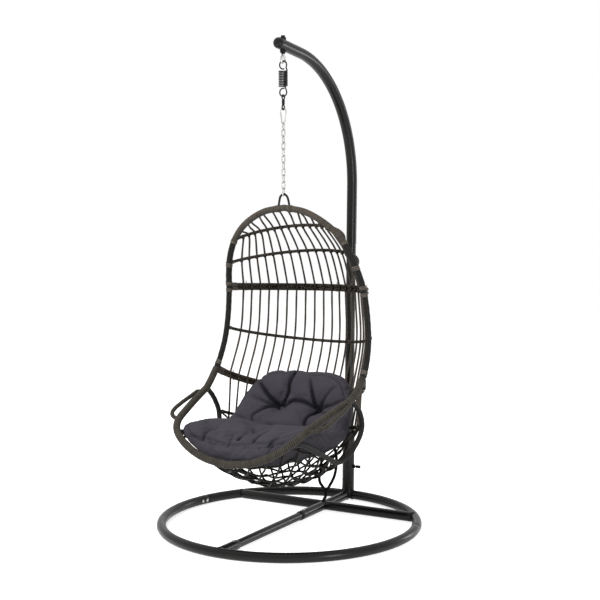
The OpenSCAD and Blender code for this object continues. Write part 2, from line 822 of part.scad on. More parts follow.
module hood_slats() {
    color(wicker)
        on_chair()
            for (i = [-slats_side:slats_side])
                let (pts = hood_slat_points(i), n = len(pts) - 1, t = pts[n] - pts[n - 1])
                    tube(concat([pts[0]], curve(pts, 1, n, (n - 1) * 3)), slat_r, 5, [1, 0, 0.001],
                        to = n == 5 ? seat_normal(t, rim_run(i)) : [0, 0, 0]);
}

// ---------- egg: back ----------

module back_side() {
    on_chair()
        tube(curve(rim_points, hood_seam + 0.006, seat_seam, 10), side_r, 8, [0, 1, 0.02],
            hoop_3[1], hoop_5[1]);
}

module back_side_left() {
    color(wicker_dark)
        mirror([1, 0, 0])
            back_side();
}

module back_side_right() {
    color(wicker_dark)
        back_side();
}

module back_joint_rail() {
    color(wicker_dark)
        difference() {
            rail(on_tube(hoop_3, side_r), -double_half, double_r);
            joint_holes(hoop_3);
        }
}

module back_rail() {
    color(wicker_dark)
        rail(hoop_4, 0, rail_r);
}

module back_lower_rail() {
    color(wicker_dark)
        difference() {
            rail(on_tube(hoop_5, side_r), double_half, double_r);
            joint_holes(hoop_5);
        }
}

function back_slat_points(i) =
    let (a = slat_angle(i), up = [0, 0, 1],
        top = hoop_point(hoop_3, a, double_inset + 0.5), low = hoop_point(hoop_5, a, double_inset))
    [top - (double_half - double_r) * up, top - (double_half + 2) * up, hoop_point(hoop_4, a, single_inset),
        low + (double_half + 2) * up, low + (double_half - double_r) * up];

module back_slats() {
    color(wicker)
        on_chair()
            for (i = [-slats_side:slats_side])
                let (pts = back_slat_points(i))
                    tube(concat([pts[0]], curve(pts, 1, 3, 6), [pts[4]]), slat_r, 5, [1, 0, 0.001]);
}

// ---------- egg: seat ----------

seat_side = curve(rim_points, seat_seam + 0.006, 11, 4);
front_half = curve(front_points, 0, 7, 21);
seat_rim_right = concat(front_half, [for (i = [len(seat_side) - 2:-1:0]) seat_side[i]]);
seat_rim_path = concat([for (p = reversed(seat_rim_right)) mirror_x(p)],
    [for (i = [1:len(seat_rim_right) - 1]) seat_rim_right[i]]);

module seat_rim() {
    color(wicker)
        on_chair()
            tube(seat_rim_path, front_r, 8, [0, 0.6, 1], mirror_x(hoop_5[1]), hoop_5[1]);
}

front_run = unit(curve_at(front_points, 4.3) - curve_at(front_points, 4.1));
module arm_loop() {
    path = curve(arm_points, 0, 5.6, 12);
    last = path[len(path) - 1];
    t = tangent(path, len(path) - 1);
    on_chair()
        tube(concat([for (i = [0:len(path) - 2]) path[i]],
            [seat_point(last, t, arm_points[6], front_run, front_r + seat_gap)]),
            arm_r2, 6, [0, 0, 1], to = seat_normal(t, front_run));
}

module arm_loop_left() {
    color(wicker)
        mirror([1, 0, 0])
            arm_loop();
}

module arm_loop_right() {
    color(wicker)
        arm_loop();
}

bucket_from_run = unit(curve_at(rim_points, 11) - curve_at(rim_points, 10.7));
bucket_to_run = unit(curve_at(front_points, 3.5) - curve_at(front_points, 3.2));
bucket_curve = curve(bucket_points, 0.4, 9.5, 24);
module bucket_tube() {
    n = len(bucket_curve) - 1;
    t = unit(bucket_points[0] - bucket_curve[0]);
    e = unit(bucket_points[10] - bucket_curve[n]);
    on_chair()
        tube(concat([seat_point(bucket_curve[0], t, bucket_points[0], bucket_from_run, front_r + 2 * seat_gap)],
            bucket_curve,
            [seat_point(bucket_curve[n], e, bucket_points[10], bucket_to_run, front_r + 2 * seat_gap)]),
            bucket_r, 8, [1, 0, 0.02], seat_normal(t, bucket_from_run), seat_normal(e, bucket_to_run));
}

module bucket_tube_left() {
    color(wicker_dark)
        mirror([1, 0, 0])
            bucket_tube();
}

module bucket_tube_right() {
    color(wicker_dark)
        bucket_tube();
}

module seat_joint_rail() {
    color(wicker_dark)
        difference() {
            rail(hoop_5, -double_half, double_r);
            joint_holes(hoop_5);
        }
}

module seat_lower_rail() {
    color(wicker_dark)
        rail(on_tube(hoop_6, bucket_r - 0.5), 0, rail_r);
}

function seat_slat_points(i) =
    let (a = slat_angle(i), up = [0, 0, 1],
        top = hoop_point(hoop_5, a, double_inset), low = hoop_point(hoop_6, a, single_inset))
    [top - (double_half - double_r) * up, top - (double_half + 2) * up, low + 3 * up, low - (rail_r + 2) * up];

module seat_slats() {
    color(wicker)
        on_chair()
            for (i = [-slats_side:slats_side])
                let (pts = seat_slat_points(i))
                    tube(concat([pts[0]], curve(pts, 1, 2, 3), [pts[3]]), slat_r, 5, [1, 0, 0.001]);
}

// The net is a bowl. Its edge runs under the front rim, along the bucket tubes and below the last rail.
net_centre = [0, -20];
net_power = 1.7;
net_r = net_cord_d / 2;
net_edge_half = concat(curve(front_points, 0, 3.2, 4), curve(bucket_points, 8.6, 2, 8),
    [for (a = [66, 44, 22, 0]) hoop_point(hoop_6, a) - [0, 0, rail_r + net_r]]);
net_edge = concat(net_edge_half, [for (i = [len(net_edge_half) - 2:-1:1]) mirror_x(net_edge_half[i])]);
// Angle of an edge point about the bowl's centre, 0 at the front, counted towards the right
function edge_angle(p) = let (a = atan2(p[0], net_centre[1] - p[1])) a < -0.001 ? a + 360 : a;
edge_angles = [for (p = net_edge) edge_angle(p)];
function edge_at(a, i = 0) =
    i == len(net_edge) - 1 || a < edge_angles[i + 1]
    ? let (next = (i + 1) % len(net_edge), top = next == 0 ? 360 : edge_angles[next],
        t = (a - edge_angles[i]) / (top - edge_angles[i]))
        net_edge[i] + t * (net_edge[next] - net_edge[i])
    : edge_at(a, i + 1);
// Bowl point for a place on the unit disc
function bowl(u, v, lift) =
    let (rho = norm([u, v]), a = (atan2(u, -v) + 360) % 360, e = edge_at(a))
    [net_centre[0] + rho * (e[0] - net_centre[0]), net_centre[1] + rho * (e[1] - net_centre[1]),
        net_bottom_z + drop + lift + (e[2] - net_bottom_z - drop) * pow(rho, net_power)];
net_steps = 8;
net_clear = 0.048;
function net_line(turn, k) =
    let (c = (k + 0.5) * 2 / net_cords - 1, half = sqrt(1 - c * c), s = half - net_clear / half)
    [for (j = [-net_steps:2:net_steps])
        let (t = s * j / net_steps, u = c * cos(turn) - t * sin(turn), v = c * sin(turn) + t * cos(turn))
        bowl(u, v, turn > 0 ? net_r + 0.2 : -net_r - 0.2)];

module seat_net() {
    color(wicker_dark)
        on_chair()
            for (turn = [45, -45])
                for (k = [0:net_cords - 1])
                    tube(net_line(turn, k), net_r, 4, [0, 0, 1]);
}

// Room under a nut or a bolt head of radius r on a sloping rail
function slope_room(h, a, r) =
    let (d = hoop_point(h, a + 1) - hoop_point(h, a - 1)) seat_gap + r * abs(d[2]) / norm([d[0], d[1]]);
joint_stack = double_half + double_r;
joint_nut_r = 5.5;

module frame_bolts() {
    color(zinc)
        on_chair()
            for (h = [hoop_3, hoop_5])
                for (a = joint_angles())
                    let (low = joint_stack + slope_room(h, a, 2 * joint_bolt_r))
                        translate(hoop_point(h, a)) {
                            translate([0, 0, -low])
                                cylinder(h = low + joint_stack + 10, r = joint_bolt_r, $fn = 24);
                            translate([0, 0, -low - 2.5])
                                cylinder(h = 2.5, r = 2 * joint_bolt_r, $fn = 24);
                        }
}

module frame_nuts() {
    color(steel)
        on_chair()
            for (h = [hoop_3, hoop_5])
                for (a = joint_angles())
                    translate(hoop_point(h, a) + [0, 0, joint_stack + slope_room(h, a, joint_nut_r)])
                        difference() {
                            cylinder(h = 5, r = joint_nut_r, $fn = 6);
                            translate([0, 0, -1])
                                cylinder(h = 7, r = joint_bolt_r + 0.1, $fn = 24);
                        }
}

// ---------- cushion ----------

// Middle line of the cushion in the YZ plane, from the front of the seat to the top of the back
cushion_path = [[-388, 352], [-300, 354], [-180, 354], [-75, 348], [10, 362], [75, 420], [128, 508], [168, 606]];
cushion_last = len(cushion_path) - 1;
side_lift = 50;
back_wrap = 36;
back_taper = 52;
back_thin = 24;
tufts = [[5.5, -106], [5.5, 106]];
fold_place = 3.7;
fold_depth = 32;
fold_width = 34;
tuft_depth = 42;
net_top = net_cord_d + 0.6;

// Height of the net bowl above a place of the plan
function bowl_share(p) =
    let (a = (atan2(p[0], net_centre[1] - p[1]) + 360) % 360, e = edge_at(a))
    norm([p[0] - net_centre[0], p[1] - net_centre[1]]) / norm([e[0] - net_centre[0], e[1] - net_centre[1]]);
function bowl_height(p) =
    let (a = (atan2(p[0], net_centre[1] - p[1]) + 360) % 360, e = edge_at(a), rho = bowl_share(p))
    net_bottom_z + drop + (e[2] - net_bottom_z - drop) * pow(rho, net_power) + net_top + 12 * pow(rho, 6);

function tuft_dent(q, w) =
    let (list = [for (t = tufts) let (r = norm([(q - t[0]) * 82, w - t[1]]))
        0.75 * exp(-pow(r / 34, 2)) + 0.25 * exp(-pow(r / 80, 2))])
    tuft_depth * (list[0] + list[1]) + fold_depth * exp(-pow((q - fold_place) * 82 / fold_width, 2));

function cushion_point(rho, a, face) =
    let (c = cos(a), s = sin(a),
        u = rho * sign(c) * pow(abs(c), 0.42), v = rho * sign(s) * pow(abs(s), 0.42),
        q = (u + 1) / 2 * cushion_last, p = curve_at(cushion_path, q),
        t = unit(curve_at(cushion_path, min(q + 0.1, cushion_last)) - curve_at(cushion_path, max(q - 0.1, 0))),
        back = max(u, 0),
        half = (cushion_t / 2 - back_thin * back) * pow(1 - pow(rho, 6), 0.5),
        w = (cushion_half_w - back_taper * back * back) * v,
        puff = face > 0 ? half - tuft_dent(q, w) * (1 - pow(rho, 6)) : -half,
        lift = (u < 0 ? side_lift : side_lift + (back_wrap - side_lift) * u) * v * v,
        m = p + [-t[1], t[0]] * (puff + lift),
        floor_z = bowl_height([w, m[0]]))
    [w, m[0], face < 0 || rho == 1 ? max(m[1] + drop, floor_z) : max(m[1] + drop, floor_z + 2)];
cushion_top_rings = 14;
cushion_low_rings = 8;
cushion_spokes = 40;

module cushion() {
    spokes = cushion_spokes;
    top = [for (i = [1:cushion_top_rings]) for (k = [0:spokes - 1])
        cushion_point(i / cushion_top_rings, 360 * k / spokes, 1)];
    bottom = [for (i = [1:cushion_low_rings - 1]) for (k = [0:spokes - 1])
        cushion_point(i / cushion_low_rings, 360 * k / spokes, -1)];
    points = concat(top, bottom, [cushion_point(0, 0, 1), cushion_point(0, 0, -1)]);
    rim = (cushion_top_rings - 1) * spokes;
    low = cushion_top_rings * spokes;
    centre = len(points) - 2;
    last = low + (cushion_low_rings - 2) * spokes;
    faces = concat(
        [for (k = [0:spokes - 1]) [centre, k, (k + 1) % spokes]],
        [for (i = [0:cushion_top_rings - 2]) for (k = [0:spokes - 1])
            [i * spokes + k, (i + 1) * spokes + k, (i + 1) * spokes + (k + 1) % spokes]],
        [for (i = [0:cushion_top_rings - 2]) for (k = [0:spokes - 1])
            [i * spokes + k, (i + 1) * spokes + (k + 1) % spokes, i * spokes + (k + 1) % spokes]],
        [for (k = [0:spokes - 1]) [centre + 1, low + (k + 1) % spokes, low + k]],
        [for (i = [0:cushion_low_rings - 3]) for (k = [0:spokes - 1])
            [low + i * spokes + k, low + (i + 1) * spokes + (k + 1) % spokes, low + (i + 1) * spokes + k]],
        [for (i = [0:cushion_low_rings - 3]) for (k = [0:spokes - 1])
            [low + i * spokes + k, low + i * spokes + (k + 1) % spokes, low + (i + 1) * spokes + (k + 1) % spokes]],
        [for (k = [0:spokes - 1]) [last + k, rim + (k + 1) % spokes, rim + k]],
        [for (k = [0:spokes - 1]) [last + k, last + (k + 1) % spokes, rim + (k + 1) % spokes]]);
    color(fabric)
        on_chair()
            polyhedron(points, faces);
}

// The cushion's tie: two ends come down from its underside through the net, are knotted and hang free
tie_r = 5;
knot_r = 10;
knot_at = z_up([178, 11, 166]);
function off_knot(v) = knot_at + (knot_r + 2 * seat_gap) * unit(v);
tie_front_points = concat([for (p = [[155, 16, 309.4], [155, 16, 268], [153, 15, 238], [147, 14, 214], [152, 12, 194]])
    z_up(p)], [off_knot([-9, 1, 8])]);
tie_rear_points = concat([for (p = [[214, 14, 339.5], [222, 14, 312], [223, 14, 276], [219, 13, 244], [209, 12, 214]])
    z_up(p)], [off_knot([9, 1, 9])]);
tie_tail_points = concat([off_knot([0, 0, -1])],
    [for (p = [[177, 9, 143], [173, 4, 132], [169, 0, 122]]) z_up(p)]);

module tie_strand(points) {
    color(fabric)
        on_chair()
            tube(curve(points, 0, len(points) - 1, 3 * len(points)), tie_r, 8, [0, 1, 0.1]);
}

module tie_front() {
    tie_strand(tie_front_points);
}

module tie_rear() {
    tie_strand(tie_rear_points);
}

module tie_tail() {
    tie_strand(tie_tail_points);
}

module tie_knot() {
    color(fabric)
        on_chair()
            translate(knot_at)
                sphere(r = knot_r, $fn = 24);
}

base_ring_rear();
base_ring_front();
ring_stub();
spine_front();
spine_hub();
crossbar_left();
crossbar_right();
base_bolts();
post_socket();
clamp_knob();
post_lower();
post_arm();
arm_end_cap();
eye_bolt();
saddle_washers();
eye_bolt_nuts();
spring();
swivel_upper();
swivel_lower();
carabiner();
carabiner_gate();
chain_links();
hanging_loop();
hood_rim();
hood_rails();
hood_joint_rail();
hood_slats();
back_side_left();
back_side_right();
back_joint_rail();
back_rail();
back_lower_rail();
back_slats();
seat_rim();
arm_loop_left();
arm_loop_right();
bucket_tube_left();
bucket_tube_right();
seat_joint_rail();
seat_lower_rail();
seat_slats();
seat_net();
frame_bolts();
frame_nuts();
cushion();
tie_front();
tie_rear();
tie_knot();
tie_tail();
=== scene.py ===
import math

import bpy
import numpy as np
from mathutils import Matrix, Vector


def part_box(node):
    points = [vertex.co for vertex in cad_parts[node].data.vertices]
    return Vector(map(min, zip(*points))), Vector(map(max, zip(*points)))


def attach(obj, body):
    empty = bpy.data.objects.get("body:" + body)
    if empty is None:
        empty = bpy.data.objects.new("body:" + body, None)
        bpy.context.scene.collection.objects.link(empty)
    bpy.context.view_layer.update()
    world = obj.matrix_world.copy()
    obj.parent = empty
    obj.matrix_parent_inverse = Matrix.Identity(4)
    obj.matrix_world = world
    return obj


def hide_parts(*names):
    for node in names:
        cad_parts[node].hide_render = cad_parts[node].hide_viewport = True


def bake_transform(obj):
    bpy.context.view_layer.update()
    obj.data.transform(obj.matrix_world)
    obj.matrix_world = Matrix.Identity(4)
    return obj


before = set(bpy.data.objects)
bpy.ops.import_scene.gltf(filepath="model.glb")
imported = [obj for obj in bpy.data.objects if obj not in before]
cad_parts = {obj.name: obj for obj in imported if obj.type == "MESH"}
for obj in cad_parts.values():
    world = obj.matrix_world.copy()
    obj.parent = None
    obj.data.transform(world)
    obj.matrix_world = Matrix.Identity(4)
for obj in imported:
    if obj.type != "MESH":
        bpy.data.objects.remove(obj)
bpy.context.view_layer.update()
print("frame loaded")

mm = 0.001
hangY = -0.030  # the chair hangs this far in front of the ring's centre
rimRadius = 0.0125
# The egg's curves are written for this height of the rim's apex and lifted by what the chain leaves over
rimApex = 1.266
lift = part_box("hood_rim")[1].z - rimRadius - rimApex
xAxis, yAxis, zAxis = np.eye(3)


def addObject(name, data):
    made = bpy.data.objects.new(name, data)
    bpy.context.scene.collection.objects.link(made)
    return made


# An object's matrix from its right, up and backward directions and its place
def placed(*columns):
    turn = np.eye(4)
    turn[:3] = np.stack(columns, 1)
    return Matrix(turn.tolist())


# ---------- camera ----------

cameraSet = {"place": (2.4548, -4.1638, 1.3120), "azimuth": 29.97, "down": 4.83, "roll": -0.224,
             "focalPixels": 1233.0, "framePixels": 600, "sensor": 36.0}


def makeCamera(s):
    a, d, r = (math.radians(s[k]) for k in ("azimuth", "down", "roll"))
    forward = np.array([-math.sin(a) * math.cos(d), math.cos(a) * math.cos(d), -math.sin(d)])
    level = np.array([math.cos(a), math.sin(a), 0.0])
    upright = np.cross(level, forward)
    right = math.cos(r) * level + math.sin(r) * upright
    up = -math.sin(r) * level + math.cos(r) * upright
    data = bpy.data.cameras.new("camera")
    data.sensor_width = s["sensor"]
    data.lens = s["focalPixels"] / s["framePixels"] * s["sensor"]
    camera = addObject("camera", data)
    camera.matrix_world = placed(right, up, -forward, s["place"])
    bpy.context.scene.camera = camera


makeCamera(cameraSet)

# ---------- curves and grids ----------


# Uniform Catmull-Rom curve through points, read at the given places, with the ends carried straight on
def smoothCurve(points, places):
    p = np.asarray(points, float)
    last = len(p) - 2
    p = np.vstack([2 * p[0] - p[1], p, 2 * p[-1] - p[-2]])
    u = np.asarray(places, float)
    i = np.clip(np.floor(u).astype(int), 0, last)
    t = (u - i)[:, None]
    a, b, c, d = p[i], p[i + 1], p[i + 2], p[i + 3]
    return 0.5 * (2 * b + (c - a) * t + (2 * a - 5 * b + 4 * c - d) * t ** 2
                  + (3 * b - a - 3 * c + d) * t ** 3)


def pathLength(path):
    return np.concatenate([[0.0], np.cumsum(np.linalg.norm(np.diff(path, axis=0), axis=1))])


# Points and directions of a path at the given distances along it
def along(path, places):
    path = np.asarray(path, float)
    far = pathLength(path)
    point = np.stack([np.interp(places, far, path[:, k]) for k in range(3)], 1)
    slope = np.gradient(path, far, axis=0)
    way = np.stack([np.interp(places, far, slope[:, k]) for k in range(3)], 1)
    return point, unit(way)


def unit(v):
    return v / np.maximum(np.linalg.norm(v, axis=-1, keepdims=True), 1e-12)


def dense(points, start=0.0, stop=None, count=160):
    stop = len(points) - 1 if stop is None else stop
    return smoothCurve(points, np.linspace(start, stop, count))


def circle(count):
    return 2 * np.pi * np.arange(count) / count


# Places from one end of a path to the other, about a step apart
def spaced(path, step, least):
    far = pathLength(path)[-1]
    return np.linspace(0, far, max(least, int(far / step)))


# Two directions square to each direction of a path; the first is the one nearest to "side"
def square(way, side):
    side = np.broadcast_to(np.asarray(side, float), way.shape)
    across = unit(side - np.sum(side * way, 1, keepdims=True) * way)
    return across, np.cross(way, across)


# Directions all round a path: cos * across + sin * over
def roundWays(way, side, count):
    across, over = square(way, side)
    a = circle(count)[:, None]
    return np.cos(a) * across[:, None] + np.sin(a) * over[:, None]


# A ring of "sides" points round each station of a path. Radius is a number, one per station, or one per
# station and side. "slant" shifts each ring along the path.
def rings(path, stations, radius, sides, side=(0.0, 0.0, 1.0), slant=0.0):
    point, way = along(path, stations)
    radius = np.asarray(radius, float)
    radius = np.broadcast_to(radius[:, None] if radius.ndim == 1 else radius, (len(point), sides))[..., None]
    shift = slant * np.cos(circle(sides))[:, None] * way[:, None]
    return point[:, None] + radius * roundWays(way, side, sides) + shift


# One surface: points on a grid that closes round each row, and as a loop end to end too. Its UV map holds
# the distance along it, or the places given.
def surface(points, places=None, loop=False):
    places = pathLength(points[:, 0]) if places is None else places
    return {"points": points, "places": np.append(places, 2 * places[-1] - places[-2]), "loop": loop}


# Faces of a grid as whole arrays. Each corner holds a vertex number and a UV place.
def gridFaces(g, start):
    n, m = g["points"].shape[:2]
    i, j = np.meshgrid(np.arange(n if g["loop"] else n - 1), np.arange(m), indexing="ij")
    i, j = i.ravel(), j.ravel()
    below, beside = (i + 1) % n, (j + 1) % m
    corner = np.stack([i * m + j, i * m + beside, below * m + beside, below * m + j], 1) + start
    u = g["places"][np.stack([i, i, i + 1, i + 1], 1)]
    v = np.stack([j, j + 1, j + 1, j], 1) / m
    return corner, np.stack([u, v], 2)


def writeMesh(name, co, loops, starts):
    mesh = bpy.data.meshes.new(name)
    mesh.vertices.add(len(co))
    mesh.vertices.foreach_set("co", co.astype(np.float32).ravel())
    mesh.loops.add(len(loops))
    mesh.loops.foreach_set("vertex_index", loops.astype(np.int32))
    mesh.polygons.add(len(starts))
    mesh.polygons.foreach_set("loop_start", starts.astype(np.int32))
    mesh.update(calc_edges=True)
    mesh.polygons.foreach_set("use_smooth", np.full(len(starts), True))
    return mesh


def writeUv(mesh, uv):
    mesh.uv_layers.new(name="UVMap").data.foreach_set("uv", uv.astype(np.float32).ravel())


# A mesh as an object, with its body and the nodes that it stands for
def enterPiece(name, mesh, material, body, slot, *stands):
    mesh.materials.append(material)
    piece = addObject(name, mesh)
    if body:
        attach(piece, body)
    if stands:
        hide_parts(*stands)
    return piece


# A piece from one or more surfaces, its faces pointing outwards, closed by fans where a surface has ends
def makePiece(name, surfaces, material, body, slot=None, *stands):
    verts, quads, quadUv, fans, fanUv, start = [], [], [], [], [], 0
    for g in surfaces:
        n, m = g["points"].shape[:2]
        verts.append(g["points"].reshape(-1, 3))
        corner, uv = gridFaces(g, start)
        quads.append(corner)
        quadUv.append(uv)
        if not g["loop"]:
            verts.append(np.stack([g["points"][0].mean(0), g["points"][-1].mean(0)]))
            j, hub, last = np.arange(m), start + n * m, start + (n - 1) * m
            k = (j + 1) % m
            fans.append(np.stack([np.full(m, hub), start + k, start + j], 1))
            fans.append(np.stack([np.full(m, hub + 1), last + j, last + k], 1))
            for place in (g["places"][0], g["places"][n - 1]):
                fanUv.append(np.stack([np.full((m, 3), place), np.tile([0.5, 0.0, 1.0], (m, 1))], 2))
        start += n * m + (0 if g["loop"] else 2)
    quads = np.concatenate(quads)
    fans = np.concatenate(fans) if fans else np.zeros((0, 3), int)
    starts = np.concatenate([4 * np.arange(len(quads)), quads.size + 3 * np.arange(len(fans))])
    mesh = writeMesh(name, np.concatenate(verts), np.concatenate([quads.ravel(), fans.ravel()]), starts)
    writeUv(mesh, np.concatenate([uv.reshape(-1, 2) for uv in quadUv + fanUv]))
    mesh.set_sharp_from_angle(angle=math.radians(50))
    return enterPiece(name, mesh, material, body, slot, *stands)


# A solid of revolution or a tube with a profile: (distance along, radius) pairs carried along a path
def turned(path, profile, sides=40, side=(0.0, 1.0, 0.0), loop=False):
    profile = np.asarray(profile, float)
    return surface(rings(path, profile[:, 0], profile[:, 1], sides, side), loop=loop)


def straight(start, stop):
    return np.array([start, stop], float)


# A tube with a wall: the outer skin from one end to the other with its edges eased, and back along the bore
def pipe(path, outer, inner, step=0.02, ease=0.0012, sides=48, side=(0.0, 0.0, 1.0)):
    far = pathLength(np.asarray(path, float))[-1]
    run = np.linspace(ease, far - ease, max(2, int(far / step)))
    out = [(0.0, outer - ease), (0.3 * ease, outer - 0.35 * ease)] + [(s, outer) for s in run]
    out += [(far - 0.3 * ease, outer - 0.35 * ease), (far, outer - ease)]
    back = [(far, inner)] + [(s, inner) for s in run[::-1]] + [(0.0, inner)]
    return turned(path, out + back, sides, side, loop=True)


def arc(centre, first, second, radius, start, stop, count):
    a = np.radians(np.linspace(start, stop, count))[:, None]
    return np.asarray(centre) + radius * (np.cos(a) * np.asarray(first) + np.sin(a) * np.asarray(second))


# A closed wire that follows a closed path; the last point isn't repeated
def closedWire(path, radius, sides=12, side=(0.0, 0.0, 1.0)):
    path = np.asarray(path, float)
    way = unit(np.roll(path, -1, 0) - np.roll(path, 1, 0))
    radius = np.asarray(radius, float).reshape(-1, 1, 1)
    return surface(path[:, None] + radius * roundWays(way, side, sides), loop=True)


# ---------- shader groups ----------


def put(tree, kind, inputs=None, **settings):
    node = tree.nodes.new(kind)
    for key, value in settings.items():
        setattr(node, key, value)
    for key, value in (inputs or {}).items():
        if isinstance(value, bpy.types.NodeSocket):
            tree.links.new(value, node.inputs[key])
        else:
            node.inputs[key].default_value = value
    return node


def calc(tree, operation, *values):
    return put(tree, "ShaderNodeMath", dict(enumerate(values)), operation=operation).outputs[0]


def mixColour(tree, share, first, second):
    return put(tree, "ShaderNodeMix", {0: share, 6: first, 7: second}, data_type="RGBA").outputs[2]


def noise(tree, place, scale, detail):
    return put(tree, "ShaderNodeTexNoise", {"Vector": place, "Scale": scale, "Detail": detail}).outputs[0]


def apart(tree, vector):
    return put(tree, "ShaderNodeSeparateXYZ", {0: vector}).outputs


def objectPlace(tree):
    return put(tree, "ShaderNodeTexCoord").outputs["Object"]


def uvPlace(tree):
    return apart(tree, put(tree, "ShaderNodeUVMap", uv_map="UVMap").outputs[0])


# A new shader group. A tuple among its inputs makes a colour, and any other value a number.
def newGroup(name, inputs, outputs):
    tree = bpy.data.node_groups.new(name, "ShaderNodeTree")
    for label, value in inputs.items():
        kind = "NodeSocketColor" if isinstance(value, tuple) else "NodeSocketFloat"
        tree.interface.new_socket(label, in_out="INPUT", socket_type=kind).default_value = value
    for label in outputs:
        kind = "NodeSocketColor" if label == "Color" else "NodeSocketFloat"
        tree.interface.new_socket(label, in_out="OUTPUT", socket_type=kind)
    return tree, tree.nodes.new("NodeGroupInput").outputs, tree.nodes.new("NodeGroupOutput").inputs


def deliver(tree, made, **values):
    for label, socket in values.items():
        tree.links.new(socket, made[label])
    return tree


# Strips laid side by side round a tube: the phase is distance along / pitch + turns round * count.
# Each strip has its own tone and fine streaks along it, and painted shade darkens it towards its edges, in the
# grooves between strips.
def makeStrandGroup():
    tree, given, made = newGroup("strands", {
        "Light": (0.2, 0.18, 0.16, 1), "Dark": (0.03, 0.03, 0.03, 1), "Pitch": 0.005, "Count": 0.0,
        "GrooveShade": 0.8, "Variation": 0.35}, ("Color", "Height", "Roughness"))
    parts = uvPlace(tree)
    phase = calc(tree, "ADD", calc(tree, "DIVIDE", parts[0], given["Pitch"]),
                 calc(tree, "MULTIPLY", parts[1], given["Count"]))
    edge = calc(tree, "SUBTRACT", calc(tree, "MULTIPLY", calc(tree, "FRACT", phase), 2.0), 1.0)
    edge = calc(tree, "ABSOLUTE", edge)
    crown = calc(tree, "SQRT", calc(tree, "SUBTRACT", 1.0, calc(tree, "POWER", edge, 2.0)))
    # painted shade: the strip's colour goes towards Dark near its edges, where the grooves between strips lie
    grooveShade = calc(tree, "MULTIPLY", calc(tree, "POWER", edge, 3.0), given["GrooveShade"])
    number = put(tree, "ShaderNodeCombineXYZ", {0: calc(tree, "FLOOR", phase)}).outputs[0]
    strip = put(tree, "ShaderNodeTexWhiteNoise", {0: number}, noise_dimensions="3D").outputs[0]
    place = objectPlace(tree)
    blotch, streak = noise(tree, place, 38.0, 3.0), noise(tree, place, 900.0, 2.0)
    tone = calc(tree, "ADD", calc(tree, "MULTIPLY", strip, 0.5),
                calc(tree, "ADD", calc(tree, "MULTIPLY", blotch, 0.6), calc(tree, "MULTIPLY", streak, 0.35)))
    tone = calc(tree, "MULTIPLY", calc(tree, "SUBTRACT", tone, 0.72), given["Variation"])
    shade = calc(tree, "ADD", grooveShade, calc(tree, "MULTIPLY", tone, -1.6))
    shade = put(tree, "ShaderNodeClamp", {0: shade}).outputs[0]
    return deliver(tree, made, Color=mixColour(tree, shade, given["Light"], given["Dark"]),
                   Height=calc(tree, "ADD", crown, calc(tree, "MULTIPLY", streak, 0.25)),
                   Roughness=calc(tree, "ADD", 0.42, calc(tree, "MULTIPLY", blotch, 0.25)))


# Grain of a coat or a bare metal: soft tone changes and a fine uneven height, on Object coordinates
def makeGrainGroup():
    tree, given, made = newGroup("grain", {
        "Base": (0.1, 0.1, 0.1, 1), "Worn": (0.2, 0.2, 0.2, 1), "Fine": 900.0, "Wear": 0.3, "Rough": 0.4},
        ("Color", "Height", "Roughness"))
    place = objectPlace(tree)
    fine, broad = noise(tree, place, given["Fine"], 2.0), noise(tree, place, 14.0, 4.0)
    spots = put(tree, "ShaderNodeMapRange", {0: broad, 1: 0.5, 2: 0.8, 3: 0.0, 4: 1.0}).outputs[0]
    share = calc(tree, "MULTIPLY", spots, given["Wear"])
    uneven = calc(tree, "MULTIPLY", calc(tree, "SUBTRACT", broad, 0.5), 0.3)
    return deliver(tree, made, Color=mixColour(tree, share, given["Base"], given["Worn"]), Height=fine,
                   Roughness=calc(tree, "ADD", given["Rough"], uneven))


# Plain weave on the UV map in metres: warp and weft swap over and under from thread to thread. Painted shade
# darkens it towards near black where a point attribute of the mesh says so, in the cushion's creases and along
# its seam.
def makeWeaveGroup():
    tree, given, made = newGroup("weave", {
        "Base": (0.07, 0.07, 0.08, 1), "Fade": (0.1, 0.1, 0.11, 1), "Thread": 0.0009}, ("Color", "Height"))
    parts = uvPlace(tree)
    turn = calc(tree, "DIVIDE", math.pi, given["Thread"])
    warp, weft = (calc(tree, "SINE", calc(tree, "MULTIPLY", parts[k], turn)) for k in (0, 1))
    cross = calc(tree, "MULTIPLY", warp, weft)
    place = objectPlace(tree)
    slub, broad = noise(tree, place, 420.0, 3.0), noise(tree, place, 9.0, 3.0)
    share = calc(tree, "ADD", calc(tree, "MULTIPLY", broad, 0.55), calc(tree, "MULTIPLY", cross, 0.12))
    share = calc(tree, "ADD", share, calc(tree, "MULTIPLY", slub, 0.25))
    share = put(tree, "ShaderNodeClamp", {0: share}).outputs[0]
    cloth = mixColour(tree, share, given["Base"], given["Fade"])
    # painted shade: the point attribute mixes the cloth towards near black in the creases and along the seam
    paintedFoldShade = put(tree, "ShaderNodeAttribute", attribute_name="paintedFoldShade").outputs["Fac"]
    return deliver(tree, made, Color=mixColour(tree, paintedFoldShade, cloth, (0.006, 0.006, 0.008, 1)),
                   Height=calc(tree, "ADD", cross, calc(tree, "MULTIPLY", slub, 0.8)))


strandGroup = makeStrandGroup()
grainGroup = makeGrainGroup()
weaveGroup = makeWeaveGroup()


def linear(r, g, b):
    return tuple(((c / 255 + 0.055) / 1.055) ** 2.4 if c > 10 else c / 255 / 12.92 for c in (r, g, b)) + (1.0,)


